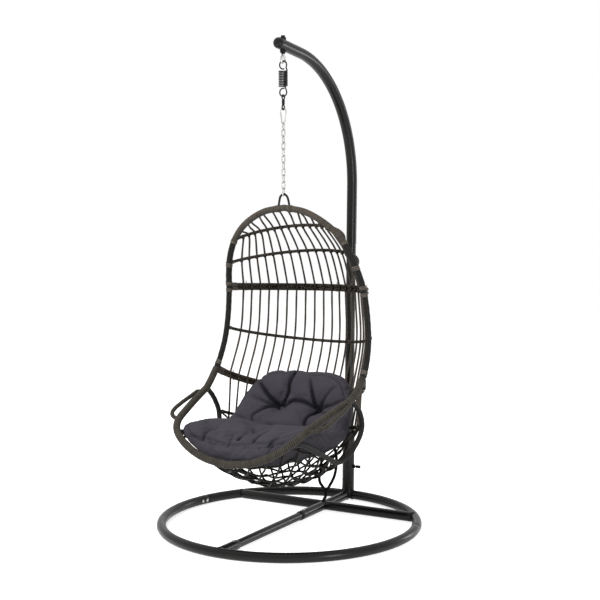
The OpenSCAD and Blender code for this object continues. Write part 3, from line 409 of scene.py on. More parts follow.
# A material whose colour, roughness and bump come from one shader group
def groupMaterial(name, group, values, bump, distance, **sockets):
    material = bpy.data.materials.new(name)
    material.use_nodes = True
    tree = material.node_tree
    shader = tree.nodes["Principled BSDF"]
    node = put(tree, "ShaderNodeGroup", node_tree=group)
    for key, value in values.items():
        node.inputs[key].default_value = value
    tree.links.new(node.outputs["Color"], shader.inputs["Base Color"])
    if "Roughness" in node.outputs:
        tree.links.new(node.outputs["Roughness"], shader.inputs["Roughness"])
    raised = put(tree, "ShaderNodeBump",
                 {"Strength": bump, "Distance": distance, "Height": node.outputs["Height"]})
    tree.links.new(raised.outputs[0], shader.inputs["Normal"])
    for key, value in sockets.items():
        shader.inputs[key.replace("_", " ")].default_value = value
    return material


def grainMaterial(name, base, worn, fine, wear, rough, bump, **sockets):
    values = {"Base": linear(*base), "Worn": linear(*worn), "Fine": fine, "Wear": wear, "Rough": rough}
    return groupMaterial(name, grainGroup, values, bump, 0.0002, **sockets)


# The groove value sets how strong the painted shade at the strips' edges is.
def wickerMaterial(name, light, dark, pitch, count=0.0, grooveShade=1.0, variation=0.5):
    values = {"Light": light, "Dark": dark, "Pitch": pitch, "Count": count, "GrooveShade": grooveShade,
              "Variation": variation}
    return groupMaterial(name, strandGroup, values, 0.7, 0.0008, Specular_IOR_Level=0.1)


def clothMaterial(name, base, fade, thread, bump, **sockets):
    values = {"Base": linear(*base), "Fade": linear(*fade), "Thread": thread}
    return groupMaterial(name, weaveGroup, values, bump, 0.0003, **sockets)


blackSteel = grainMaterial("blackSteel", (15, 15, 14), (27, 26, 24), 1600.0, 0.5, 0.36, 0.03,
                           Specular_IOR_Level=0.05, Coat_Weight=0.35, Coat_Roughness=0.26)
zincSteel = grainMaterial("zincSteel", (188, 188, 185), (128, 127, 125), 1300.0, 0.7, 0.32, 0.15, Metallic=0.8)
springSteel = grainMaterial("springSteel", (16, 16, 17), (34, 33, 32), 1500.0, 0.6, 0.38, 0.15,
                            Specular_IOR_Level=0.2)
blackPlastic = grainMaterial("blackPlastic", (22, 22, 22), (38, 38, 37), 2400.0, 0.4, 0.45, 0.2,
                             Specular_IOR_Level=0.1, Coat_Weight=0.2, Coat_Roughness=0.25)


hoodPitch, seatPitch, sleevePitch, railPitch = 0.0064, 0.0076, 0.0060, 0.0064
taupe, taupeDark = linear(84, 78, 71), linear(26, 24, 22)
olive, oliveDark = linear(70, 66, 60), linear(19, 18, 16)
char, charDark = linear(40, 39, 38), linear(12, 12, 11)
hoodWrap = wickerMaterial("hoodWrap", taupe, taupeDark, hoodPitch)
seatWrap = wickerMaterial("seatWrap", olive, oliveDark, seatPitch)
sleeveWrap = wickerMaterial("sleeveWrap", linear(96, 90, 82), taupeDark, sleevePitch)
railWrap = wickerMaterial("railWrap", linear(70, 64, 57), charDark, railPitch, variation=1.3)
sideStrands = wickerMaterial("sideStrands", char, charDark, 1.0, count=9.0, grooveShade=0.9)
slatWrap = wickerMaterial("slatWrap", linear(76, 69, 62), linear(34, 30, 27), 1.0, count=4.0, grooveShade=0.6)
knotWrap = wickerMaterial("knotWrap", linear(46, 43, 39), linear(17, 16, 15), 1.0, count=3.0, grooveShade=0.6)
netStrands = wickerMaterial("netStrands", linear(36, 34, 29), linear(12, 12, 10), 0.012, count=2.0, grooveShade=0.7)

cushionCloth = clothMaterial("cushionCloth", (57, 55, 61), (74, 72, 78), 0.0009, 0.25,
                             Roughness=0.92, Specular_IOR_Level=0.06, Sheen_Weight=0.03)
tieCloth = clothMaterial("tieCloth", (22, 21, 23), (32, 31, 33), 0.0011, 0.3,
                         Roughness=0.9, Specular_IOR_Level=0.05)
print("materials ready")

# ---------- the cushion's tie ----------

tie = {"halfWidth": 0.0056, "halfThickness": 0.0045, "step": 0.003, "sides": 20, "twist": 0.5, "twistPace": 26,
       "shortest": 12, "knotRadius": 0.010, "knotGap": 0.6, "knot": (178, 11, 166),
       "knotWire": 0.0040, "knotLoops": ((0.0, 0.0064), (1.1, 0.0060), (2.2, 0.0056)),
       "front": [(155, 16, 309.4), (155, 16, 268), (153, 15, 238), (147, 14, 214), (152, 12, 194)],
       "rear": [(214, 14, 339.5), (222, 14, 312), (223, 14, 276), (219, 13, 244), (209, 12, 214)],
       "tail": [(177, 9, 143), (173, 4, 132), (169, 0, 122)]}


# A place of the chair in millimetres, y counted from the hanging axis, as a place in the frame in metres
def chairPoint(p):
    return np.asarray(p, float) * mm + np.array([0.0, hangY, lift])


def offKnot(way):
    return np.array(tie["knot"], float) + (tie["knotRadius"] / mm + tie["knotGap"]) * unit(np.array(way, float))


# A flat strap: a superellipse across, wide from side to side and thin from front to back, with a slow twist.
def makeTie(name, points, stands):
    path = dense(chairPoint(points), count=60)
    places = spaced(path, tie["step"], 16)
    cosine, sine = np.cos(circle(tie["sides"])), np.sin(circle(tie["sides"]))
    wide = np.sign(cosine) * np.abs(cosine) ** 0.6 * tie["halfWidth"]
    thin = np.sign(sine) * np.abs(sine) ** 0.8 * tie["halfThickness"]
    point, way = along(path, places)
    twist = tie["twist"] * np.sin(places * tie["twistPace"])
    across, over = square(way, np.stack([np.cos(twist), np.sin(twist), 0 * twist], 1))
    grid = point[:, None] + wide[:, None] * across[:, None] + thin[:, None] * over[:, None]
    piece = makePiece(name, [surface(grid, places)], tieCloth, "chair", "cushion_fabric", stands)


def makeTies():
    turn = circle(48)[:, None]
    loops = []
    for tilt, size in tie["knotLoops"]:
        first = np.array([math.cos(tilt), math.sin(tilt), 0.35])
        second = np.array([-0.3 * math.sin(tilt), 0.3 * math.cos(tilt), 1.0])
        ring = np.cos(turn) * unit(first) + np.sin(turn) * unit(second)
        loops.append(closedWire(chairPoint(tie["knot"]) + size * ring, tie["knotWire"], 12,
                                np.cross(first, second)))
    knot = makePiece("tieKnot", loops, tieCloth, "chair", "cushion_fabric", "tie_knot")
    makeTie("tieFront", tie["front"] + [offKnot((-9, 1, 8))], "tie_front")
    makeTie("tieRear", tie["rear"] + [offKnot((9, 1, 9))], "tie_rear")
    makeTie("tieTail", [offKnot((0, 0, -1))] + tie["tail"], "tie_tail")


makeTies()
print("ties made")

# ---------- floor stand ----------

stand = {"tube": 0.019, "wall": 0.002, "ring": 0.508, "seam": 15.5, "seamGap": 0.0004, "insert": 6,
         "insertGap": 0.0002, "fit": 0.0003, "bead": 0.0021, "crossbarY": 0.290, "spine": 0.016,
         "spineFrontIn": 0.07, "spineRearIn": 0.06, "hubFront": 0.083, "stubLength": 0.104,
         "boltAngles": (11.2, 14.0), "socket": 0.026, "socketLength": 0.300, "boreDepth": 0.1, "post": 0.020,
         "postWall": 0.0022, "postBack": 0.004, "postStart": 0.04, "jointZ": 1.105, "jointIn": 0.1,
         "lean": 1.7, "knobAt": 0.125}
arm = {"radius": 0.0215, "bend": 0.508, "angle": 84.0, "bendZ": 1.354, "overhang": 0.030}
tubeZ = np.array([0.0, 0.0, stand["tube"]])
postY = stand["ring"] - stand["postBack"]
postWay = np.array([0.0, math.sin(math.radians(stand["lean"])), math.cos(math.radians(stand["lean"]))])
postFoot = np.array([0.0, postY, stand["tube"]])


def onPost(distance):
    return postFoot + distance * postWay


def ringPath(start, stop, count=140):
    return arc(tubeZ, xAxis, yAxis, stand["ring"], start, stop, count)


def steelPiece(name, parts, node):
    return makePiece(name, parts, blackSteel, "stand", "black_steel", node)


# A weld bead where a base tube meets a main tube: each line of the base tube's skin is run on to the main
# tube's skin by solving |w + s * d| = main radius for s, and the bead's thickness ripples along it. It
# thins out where it nears the floor, so that the base stands flat.
def weldBead(at, way, mainAt, mainWay, mainRadius):
    d, m = unit(np.asarray(way, float)), unit(np.asarray(mainWay, float))
    first = unit(np.cross(m, d))
    second = np.cross(d, first)
    a = circle(144)[:, None]
    start = np.asarray(at) + stand["tube"] * (np.cos(a) * first + np.sin(a) * second)
    w = start - np.asarray(mainAt)
    w = w - (w @ m)[:, None] * m
    flat = d - (d @ m) * m
    b, c, q = w @ flat, np.sum(w * w, 1) - mainRadius ** 2, flat @ flat
    s = (np.sqrt(np.maximum(b * b - q * c, 0.0)) - b) / q
    seam = start + s[:, None] * d
    ripple = stand["bead"] * (1 + 0.16 * np.sin(36 * a[:, 0]))
    return closedWire(seam, np.minimum(ripple, np.maximum(seam[:, 2], 0.0002)), 8, d)


def buttonHead(at, way, radius=0.006, height=0.0026, socket=0.0028):
    profile = [(0, radius), (0.35 * height, radius), (0.75 * height, 0.86 * radius), (height, 0.6 * radius),
               (height, 1.02 * socket), (0.45 * height, socket), (0.4 * height, 0.2 * socket)]
    return turned(straight(at, at + 0.1 * way), profile, 24, (0.3, 0.5, 0.8))


def makeBase():
    s = stand
    tube, inner, bore = s["tube"], s["tube"] - s["wall"], s["spine"] + s["fit"]
    gap = math.degrees(s["seamGap"] / s["ring"])
    rear = [pipe(ringPath(s["seam"] + gap, 180 - s["seam"] - gap), tube, inner)]
    front = [pipe(ringPath(180 - s["seam"] + gap, 360 + s["seam"] - gap, 200), tube, inner)]
    insert = inner - s["insertGap"]
    for middle in (s["seam"], 180 - s["seam"]):
        rear.append(pipe(ringPath(middle - s["insert"], middle + s["insert"], 30), insert, insert - s["wall"]))
    steelPiece("baseRingRear", rear, "base_ring_rear")
    steelPiece("baseRingFront", front, "base_ring_front")

    line = lambda start, stop: straight((0, start, tube), (0, stop, tube))
    front, stubEnd = (0, -s["ring"], tube), -s["ring"] + tube + s["stubLength"]
    steelPiece("ringStub", [pipe(line(-s["ring"] + 0.6 * tube, stubEnd), tube, bore),
                            weldBead(front, yAxis, front, xAxis, tube)], "ring_stub")
    spine = line(stubEnd - s["spineFrontIn"], s["hubFront"] + s["spineRearIn"])
    steelPiece("spineFront", [pipe(spine, s["spine"], s["spine"] - s["wall"])], "spine_front")
    steelPiece("spineHub", [pipe(line(s["hubFront"], postY - 0.8 * s["socket"]), tube, bore),
                            weldBead(postFoot, -yAxis, postFoot, postWay, s["socket"])], "spine_hub")

    reach = math.sqrt(s["ring"] ** 2 - s["crossbarY"] ** 2)
    middle = np.array([0, s["crossbarY"], tube])
    for name, sign in (("Right", 1), ("Left", -1)):
        out = sign * xAxis
        bar = straight(middle + 0.6 * tube * out, middle + (reach - 0.7 * tube) * out)
        end = middle + reach * out
        parts = [pipe(bar, tube, inner), weldBead(middle, out, middle, yAxis, tube),
                 weldBead(end, -out, end, (-s["crossbarY"], sign * reach, 0), tube)]
        steelPiece("crossbar" + name, parts, "crossbar_" + name.lower())

    bolts = []
    for angle in (*s["boltAngles"], *(180 - other for other in s["boltAngles"])):
        out = math.cos(math.radians(angle)) * xAxis + math.sin(math.radians(angle)) * yAxis
        bolts.append(buttonHead(tubeZ + (s["ring"] - tube) * out, -out))
    for y in (stubEnd - 0.022, s["hubFront"] + 0.030):
        bolts.append(buttonHead(np.array([0, y, 2 * tube]), zAxis))
    makePiece("baseBolts", bolts, zincSteel, "stand", "zinc_steel", "base_bolts")


def makePost():
    s, top = stand, stand["socketLength"]
    bore, bottom = s["post"] + s["fit"], top - s["boreDepth"]
    profile = [(0.0, 0.012), (0.0005, s["socket"] - 0.004), (0.002, s["socket"])]
    profile += [(d, s["socket"]) for d in np.linspace(0.01, top - 0.002, 24)]
    profile += [(top - 0.0006, s["socket"] - 0.0005), (top, s["socket"] - 0.0018), (top, bore), (bottom, bore),
                (bottom, 0.004)]
    socket = [turned(straight(onPost(0), onPost(top)), profile, 56)]
    socket += [weldBead(postFoot, way, postFoot, postWay, s["socket"]) for way in (xAxis, -xAxis)]
    steelPiece("postSocket", socket, "post_socket")
    jointS = (s["jointZ"] - s["tube"]) / math.cos(math.radians(s["lean"]))
    lower = straight(onPost(s["postStart"]), onPost(jointS + s["jointIn"]))
    steelPiece("postLower", [pipe(lower, s["post"], s["post"] - s["postWall"])], "post_lower")


# Lever knob on the socket: a screw, a hexagon collar and a rounded grip, turned about the X axis
def makeKnob():
    at = onPost(stand["knobAt"]) + (stand["post"] + stand["fit"]) * xAxis
    path = straight(at, at + 0.1 * xAxis)
    screw = turned(path, [(0, 0.0035), (0.0005, 0.004), (0.0205, 0.004)], 20)
    collar = turned(path, [(0.0061, 0.0075), (0.0066, 0.0088), (0.0106, 0.0088), (0.0111, 0.0075)], 6)
    grip = [(0.018, 0.0045), (0.0185, 0.0064), (0.020, 0.007), (0.026, 0.0066), (0.031, 0.0068)]
    grip += [(0.032 + 0.007 * math.sin(a), 0.007 * math.cos(a)) for a in np.linspace(0.1, 1.5, 9)]
    makePiece("clampKnob", [screw, collar, turned(path, grip, 28)], blackPlastic, "knob", "black_plastic",
              "clamp_knob")


# The arm: straight up the post, one bend, straight to the tip
def armPath():
    s, a = stand, arm
    lean = math.radians(s["lean"])
    back = np.array([0.0, math.cos(lean), -math.sin(lean)])
    bendStart = onPost((a["bendZ"] - s["tube"]) / math.cos(lean))
    centre = bendStart - a["bend"] * back
    bent = arc(centre, back, postWay, a["bend"], 0, a["angle"], 90)
    rise = math.radians(90 - a["angle"] + s["lean"])
    way = np.array([0.0, -math.cos(rise), math.sin(rise)])
    tip = bent[-1] + (bent[-1][1] - hangY + a["overhang"]) / math.cos(rise) * way
    start = onPost((s["jointZ"] - s["tube"]) / math.cos(lean))
    return np.vstack([start, start + 0.3 * (bendStart - start), bent, tip]), way, tip, math.tan(rise), bent[-1]


armLine, armWay, armTip, armSlope, bendEnd = armPath()
hangZ = bendEnd[2] + (bendEnd[1] - hangY) * armSlope
armHalfZ = arm["radius"] * math.sqrt(1 + armSlope ** 2)


def makeArm():
    r, post = arm["radius"], stand["post"]
    far = pathLength(armLine)[-1]
    run = np.linspace(0.002, far, 130)
    profile = [(0.0, post + stand["fit"]), (0.0, r - 0.0016), (0.0006, r - 0.0004)] + [(d, r) for d in run]
    profile += [(far, post + stand["fit"])] + [(d, post + 0.0002) for d in run[::-1]]
    steelPiece("postArm", [turned(armLine, profile, 56, xAxis, loop=True)], "post_arm")
    path = straight(armTip - 0.014 * armWay, armTip + 0.03 * armWay)
    dome = [(0.0, post - 0.002), (0.0002, post), (0.0143, post), (0.0143, r + 0.0002)]
    dome += [(0.0155 + r * math.sin(a), (r + 0.0002) * math.cos(a)) for a in np.linspace(0, 1.52, 18)]
    makePiece("armEndCap", [turned(path, dome, 48, xAxis)], blackPlastic, "stand", "black_plastic",
              "arm_end_cap")


makeBase()
makePost()
makeKnob()
makeArm()
print("stand made")

# ---------- hanger ----------

hanger = {"eyeWire": 0.0045, "eyeRing": 0.0135, "eyeDrop": 0.033, "washer": 0.007, "washerRadius": 0.012,
          "nutAcross": 0.0156, "upperNut": 0.007, "lowerNut": 0.006, "boltEnd": 0.008, "threadPitch": 0.0015,
          "springWire": 0.0027, "hookRing": 0.0155,
          "coilRadius": 0.0156, "turns": 10, "pitch": 0.0063, "lead": 0.125, "gap": 0.0003,
          "swivelWire": 0.0028, "swivelRing": 0.009, "barrel": 0.006, "barrelHeight": 0.012,
          "carabinerWire": 0.0025, "wide": 0.0125, "narrow": 0.007, "carabinerLength": 0.040,
          "linkWire": 0.0025, "linkRing": 0.0064, "linkCount": 11, "linkPitch": 0.0252, "linkFlank": 10,
          "loopWire": 0.0036}


# Ring of wire round a centre on the hanging axis, in the plane across X
def wireRing(z, ring, wire):
    a = circle(72)
    return closedWire(np.stack([0 * a, hangY + ring * np.cos(a), z + ring * np.sin(a)], 1), wire, 16, xAxis)


def onAxis(low, high):
    return straight((0, hangY, low), (0, hangY, high))


# Radii of a nut: the hexagon's own radius at each angle, cut down by a chamfer cone at its ends
def nutRadii(across, cone, a):
    return np.minimum(across / 2 / np.cos((a % (np.pi / 3)) - np.pi / 6), np.asarray(cone)[:, None])


def nut(low, high, across, hole):
    z = np.array([low, low, low + 0.0006, low + 0.0018, high - 0.0018, high - 0.0006, high, high])
    half = [hole, across / 2 - 0.0004, across / 2 + 0.0006, 1]
    radius = nutRadii(across, half + half[::-1], circle(48))
    return surface(rings(onAxis(low - 0.01, high + 0.01), z - low + 0.01, radius, 48, xAxis), loop=True)


def hangerHeights():
    h = hanger
    z = {"eye": hangZ - armHalfZ - h["eyeDrop"]}
    z["hookTop"] = z["eye"] - h["eyeRing"] + h["eyeWire"] + h["springWire"] + h["gap"]
    z["upperHook"] = z["hookTop"] - h["hookRing"]
    z["coilTop"] = z["upperHook"] - h["hookRing"] - h["springWire"] - 0.0025
    z["coilBottom"] = z["coilTop"] - h["turns"] * h["pitch"]
    z["lowerHook"] = z["coilBottom"] - h["hookRing"] - h["springWire"] - 0.0025
    z["upperEye"] = (z["lowerHook"] - h["hookRing"] + h["springWire"] + h["swivelWire"] + h["gap"]
                     - h["swivelRing"])
    z["barrel"] = z["upperEye"] - h["swivelRing"] - h["barrelHeight"]
    z["lowerEye"] = z["barrel"] - h["barrelHeight"] - h["swivelRing"] + 0.003
    z["carabinerTop"] = z["lowerEye"] - h["swivelRing"] + h["swivelWire"] + h["carabinerWire"] + h["gap"]
    z["wide"] = z["carabinerTop"] - h["wide"]
    z["narrow"] = z["wide"] - h["carabinerLength"]
    z["linkStraight"] = h["linkPitch"] + 2 * h["linkWire"] + h["gap"] - 2 * h["linkRing"]
    z["firstLink"] = (z["narrow"] - h["narrow"] + h["carabinerWire"] + h["linkWire"] + h["gap"] - h["linkRing"]
                      - z["linkStraight"] / 2)
    z["lastLink"] = z["firstLink"] - (h["linkCount"] - 1) * h["linkPitch"]
    z["loopTop"] = (z["lastLink"] - z["linkStraight"] / 2 - h["linkRing"] + h["linkWire"] + h["loopWire"]
                    + h["gap"])
    return z


heights = hangerHeights()


def makeEyeBolt():
    h, z = hanger, heights
    low, high = z["eye"] + h["eyeRing"] - 0.002, hangZ + armHalfZ + h["washer"] + h["boltEnd"]
    places = np.arange(0, high - low, 0.00035)
    # thread: a ridge that climbs one pitch for each turn
    turn = places[:, None] / h["threadPitch"] + np.arange(16)[None] / 16
    ridge = 0.0003 * np.abs((turn % 1) * 2 - 1)
    shank = surface(rings(onAxis(low, high), places, h["eyeWire"] - 0.0001 - ridge, 16, xAxis), places)
    makePiece("eyeBolt", [wireRing(z["eye"], h["eyeRing"], h["eyeWire"]), shank], zincSteel, "stand",
              "zinc_steel", "eye_bolt")
    top = hangZ + armHalfZ + h["washer"] + h["gap"]
    under = hangZ - armHalfZ - h["washer"] - h["gap"]
    nuts = [nut(low, high, h["nutAcross"], h["eyeWire"] + 0.0001)
            for low, high in ((top, top + h["upperNut"]), (under - h["lowerNut"], under))]
    makePiece("eyeBoltNuts", nuts, springSteel, "stand", "black_steel", "eye_bolt_nuts")


# Saddle washer: flat outside, hollowed inside to the arm's round skin, whose height over the axis is
# sqrt(radius squared - x squared), tilted with the arm
def makeSaddles():
    hole, fit = hanger["eyeWire"] + 0.0002, arm["radius"] + 0.0002
    a = circle(48)
    parts = []
    for sign in (1, -1):
        flatZ = sign * (armHalfZ + hanger["washer"])
        rows = []
        for radius, curved in ((hole, True), (hanger["washerRadius"], True), (hanger["washerRadius"], False),
                               (hole, False)):
            x, y = radius * np.cos(a), radius * np.sin(a)
            skin = sign * np.sqrt(fit ** 2 - x ** 2) * math.sqrt(1 + armSlope ** 2) - y * armSlope
            rows.append(np.stack([x, hangY + y, hangZ + (skin if curved else np.full(48, flatZ))], 1))
        parts.append(surface(np.stack(rows[::sign]), loop=True))
    makePiece("saddleWashers", parts, blackPlastic, "stand", "black_steel", "saddle_washers")


# The spring is one wire: hook, lead, coil, lead, hook. The lower half is the upper one turned about Y.
# A cubic joins the hook's end to the coil's start with the direction of each.
def springPath():
    h, z = hanger, heights
    hookEnd = -25
    beta = np.radians(np.linspace(290, hookEnd, 60))
    hook = np.stack([h["hookRing"] * np.cos(beta), 0 * beta, z["upperHook"] + h["hookRing"] * np.sin(beta)], 1)
    turns = np.linspace(h["lead"], h["turns"] - h["lead"], 400)
    a = 2 * np.pi * turns
    coil = np.stack([h["coilRadius"] * np.cos(a), h["coilRadius"] * np.sin(a),
                     z["coilTop"] - h["pitch"] * turns], 1)
    t, pull = np.linspace(0, 1, 20)[1:-1, None], 0.016
    endWay = pull * np.array([math.sin(math.radians(hookEnd)), 0, -math.cos(math.radians(hookEnd))])
    startWay = pull * np.array([-math.sin(a[0]), math.cos(a[0]), -0.06])
    bridge = ((2 * t ** 3 - 3 * t ** 2 + 1) * hook[-1] + (t ** 3 - 2 * t ** 2 + t) * endWay
              + (3 * t ** 2 - 2 * t ** 3) * coil[0] + (t ** 3 - t ** 2) * startWay)
    upper = np.vstack([hook, bridge])
    lower = upper[::-1] * [1, -1, -1] + [0, 0, z["coilTop"] + z["coilBottom"]]
    return np.vstack([upper, coil, lower]) + [0, hangY, 0]


def makeSpring():
    h, path, count = hanger, springPath(), 620
    places = np.linspace(0, pathLength(path)[-1], count)
    point, way = along(path, places)
    out = point - [0, hangY, (heights["coilTop"] + heights["coilBottom"]) / 2]
    hookPart = np.abs(out[:, 2]) > h["turns"] * h["pitch"] / 2 + 0.001
    side = np.where(hookPart[:, None], np.cross(way, [0, 1, 0.02]), out * [1, 1, 0])
    radius = np.full(count, h["springWire"])
    radius[[0, -1]] -= 0.0008
    spring = makePiece("spring", [surface(rings(path, places, radius, 14, side), places)], springSteel, None,
                       "black_steel", "spring")
    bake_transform(spring)


def makeSwivel():
    h, z = hanger, heights
    mid, high, r = z["barrel"], h["barrelHeight"], h["barrel"]
    low = mid - h["gap"] - high + 0.004
    upper = [(0.0, 0.0028), (0.0, r - 0.0008), (0.0008, r), (high - 0.003, r), (high - 0.001, r - 0.001),
             (high + 0.001, 0.0034), (high + 0.003, 0.0028)]
    lower = [(0.0, 0.0028), (0.001, r - 0.0016), (0.0025, r), (high - 0.0048, r), (high - 0.004, r - 0.0008),
             (high - 0.004, 0.0025), (high - 0.001, 0.0025)]
    ends = (("upper", "swivel_top", mid, upper), ("lower", "swivel_bottom", low, lower))
    for end, body, foot, profile in ends:
        parts = [turned(onAxis(foot, foot + 0.05), profile, 32),
                 wireRing(z[end + "Eye"], h["swivelRing"], h["swivelWire"])]
        makePiece("swivel" + end.capitalize(), parts, springSteel, body, "black_steel", "swivel_" + end)


def makeCarabiner():
    h, z, w = hanger, heights, hanger["carabinerWire"]
    tilt = math.asin((h["wide"] - h["narrow"]) / h["carabinerLength"])
    deg = math.degrees(tilt)
    side = lambda ring, middle: np.array([ring * math.cos(tilt), hangY, middle - ring * math.sin(tilt)])
    bend = lambda end, start, stop, count: arc((0, hangY, z[end]), xAxis, zAxis, h[end], start, stop, count)
    wide, narrow = side(h["wide"], z["wide"]), side(h["narrow"], z["narrow"])
    gateTop, pivot = narrow + 0.86 * (wide - narrow), narrow + 0.12 * (wide - narrow)
    way = unit(wide - narrow)
    body = np.vstack([gateTop + 0.0004 * way, bend("wide", -deg, 180 + deg, 60),
                      bend("narrow", 180 + deg, 360 - deg, 40), pivot - 0.0045 * way])
    far = pathLength(body)[-1]
    places = np.concatenate([[0.0, 0.0006], np.linspace(0.002, far - 0.002, 170), [far - 0.0006, far]])
    radius = np.full(len(places), w)
    radius[[0, -1]] = w - 0.0008
    radius[[1, -2]] = w - 0.0002
    parts = [surface(rings(body, places, radius, 16, yAxis), places)]
    for y in (-0.0018, 0.0018):  # the two cheeks that hold the gate's rivet
        cheek = straight(pivot - 0.006 * way + y * yAxis, pivot + 0.003 * way + y * yAxis)
        parts.append(turned(cheek, [(0, 0.0012), (0.001, 0.0019), (0.007, 0.0019), (0.009, 0.0012)], 12, xAxis))
    makePiece("carabiner", parts, zincSteel, "hanger", "zinc_steel", "carabiner")
    line = straight(pivot - 0.001 * way, gateTop)
    length = pathLength(line)[-1]
    gate = turned(line, [(0, 0.0009), (0.001, 0.0011), (0.004, 0.0011), (0.006, w - 0.0003),
                         (length - 0.004, w - 0.0003), (length - 0.0005, w - 0.0004), (length, w - 0.001)],
                  16, xAxis)
    pin = straight(pivot - 0.0032 * yAxis, pivot + 0.0032 * yAxis)
    rivet = turned(pin, [(0, 0.0005), (0.0004, 0.0011), (0.0008, 0.0008), (0.0056, 0.0008), (0.006, 0.0011),
                         (0.0064, 0.0005)], 14)
    makePiece("carabinerGate", [gate, rivet], zincSteel, "gate", "zinc_steel", "carabiner_gate")


# A chain link is a closed wire: two half circles joined by straight sides, thicker at its weld
def makeChain():
    h, half, count = hanger, heights["linkStraight"] / 2, hanger["linkFlank"]
    a = np.radians(np.linspace(0, 180, 22))
    bend, rise = h["linkRing"] * np.cos(a), half + h["linkRing"] * np.sin(a)
    side = np.full(count, h["linkRing"])
    flank = half - 2 * half * np.linspace(0, 1, count + 2)[1:-1]
    x, up = np.concatenate([bend, -side, -bend, side]), np.concatenate([rise, flank, -rise, -flank])
    wire = h["linkWire"] * (1 + 0.14 * np.exp(-((up / 0.0018) ** 2)) * (x > 0))
    links = []
    for i in range(h["linkCount"]):
        z = heights["firstLink"] - i * h["linkPitch"] + up
        path = np.stack([x, hangY + 0 * x, z] if i % 2 else [0 * x, hangY + x, z], 1)
        links.append(closedWire(path, wire, 12, yAxis if i % 2 else xAxis))
    makePiece("chainLinks", links, zincSteel, "hanger", "zinc_steel", "chain_links")


makeEyeBolt()
makeSaddles()
makeSpring()
makeSwivel()
makeCarabiner()
makeChain()
print("hanger made")

# ---------- egg: curves ----------

# The egg's curves, right half, in millimetres: x across, y back from the hanging axis, z up
egg = {
    "rim": [(0, 2, 1266), (93, 2, 1250), (178, 9, 1206), (238, 25, 1149), (274, 38, 1079), (298, 62, 1003),
            (311, 82, 925), (321, 88, 825), (329, 76, 730), (334, 38, 642), (332, -18, 580), (328, -62, 545)],
    "front": [(0, -417, 331), (98, -414, 345), (182, -402, 377), (246, -378, 420), (279, -330, 457),
              (299, -230, 494), (315, -140, 522), (328, -62, 545)],
    "bucket": [(328, -62, 545), (332, -10, 500), (330, 22, 447), (324, 22, 402), (312, 2, 360), (298, -35, 322),
               (284, -92, 308), (277, -150, 333), (270, -235, 374), (262, -320, 412), (250, -378, 420)],
    "arm": [(344, -104, 535), (347, -150, 520), (348, -205, 504), (345, -258, 488), (335, -290, 476),
            (314, -310, 466), (282, -318, 460)],
    "sideRadius": 0.0115, "frontRadius": 0.014, "railRadius": 0.0055, "doubleRadius": 0.00675,
    "doubleGap": 0.0015, "slatRadius": 0.0032, "bucketRadius": 0.0095, "armRadius": 0.008, "touch": 0.0003,
    "slatPitch": 41.5, "slatsEachSide": 10, "topEnd": 3.3, "hoodSeam": 5.77, "seatSeam": 9.36, "tubeGap": 0.006,
    "depthPower": 1.6, "sagPower": 1.3, "wrapRise": 0.0002, "railRise": 0.0010, "bandRise": 0.0016,
    "loopRise": 0.0018, "cuffRise": 0.0022}
curves = {key: chairPoint(egg[key]) for key in ("rim", "front", "bucket", "arm")}


def mirrored(p):
    return p * [-1, 1, 1]
# Both halves of a path whose right half starts in the middle
def bothHalves(half):
    return np.vstack([mirrored(half)[::-1], half[1:]])


# A hoop runs round the back between two mirrored points of a tube: x goes with sin, the depth with
# cos to a power and the height with cos to another power; "lean" tilts the inward normal
def hoop(key, place, depth, height, lean=0.0):
    end = smoothCurve(curves[key], [place])[0]
    return {"end": end, "depth": depth * mm + hangY, "height": height * mm + lift, "lean": math.radians(lean),
            "place": place}


hoops = {"one": hoop("rim", 3.23, 209, 1194, 50), "two": hoop("rim", 4.52, 327, 1088, 35),
         "joint": hoop("rim", egg["hoodSeam"], 402, 928), "middle": hoop("rim", 7.48, 394, 703),
         "seat": hoop("rim", egg["seatSeam"], 310, 490), "low": hoop("bucket", 2.1, 215, 375)}


def inwards(h, degrees):
    a = np.radians(np.asarray(degrees, float))
    c = np.maximum(np.cos(a), 1e-9)
    depth, p = h["depth"] - h["end"][1], egg["depthPower"]
    flat = unit(np.stack([p * depth * c ** (p - 1) * np.sin(a), h["end"][0] * c, np.zeros_like(a)], -1))
    return -(math.cos(h["lean"]) * flat + np.array([0, 0, math.sin(h["lean"])]))


def hoopPoint(h, degrees, inset=0.0, up=0.0):
    a = np.radians(np.asarray(degrees, float))
    c = np.maximum(np.cos(a), 0.0)
    x, y, z = h["end"]
    point = np.stack([x * np.sin(a), y + (h["depth"] - y) * c ** egg["depthPower"],
                      z + (h["height"] - z) * c ** egg["sagPower"] + up], -1)
    return point + inset * inwards(h, degrees) if inset else point


def slatAngles():
    step = np.arange(0, 90, 3)
    far = pathLength(hoopPoint(hoops["middle"], step)) / mm
    number = np.arange(-egg["slatsEachSide"], egg["slatsEachSide"] + 1)
    return number, np.sign(number) * np.interp(np.abs(number) * egg["slatPitch"], far, step)


slatNumbers, slatDegrees = slatAngles()
doubleHalf = egg["doubleRadius"] + egg["doubleGap"] / 2
singleInset = egg["railRadius"] + egg["slatRadius"] + egg["touch"]
doubleInset = egg["doubleRadius"] + egg["slatRadius"] + egg["touch"]
bothSides = (("Right", lambda p: p), ("Left", mirrored))

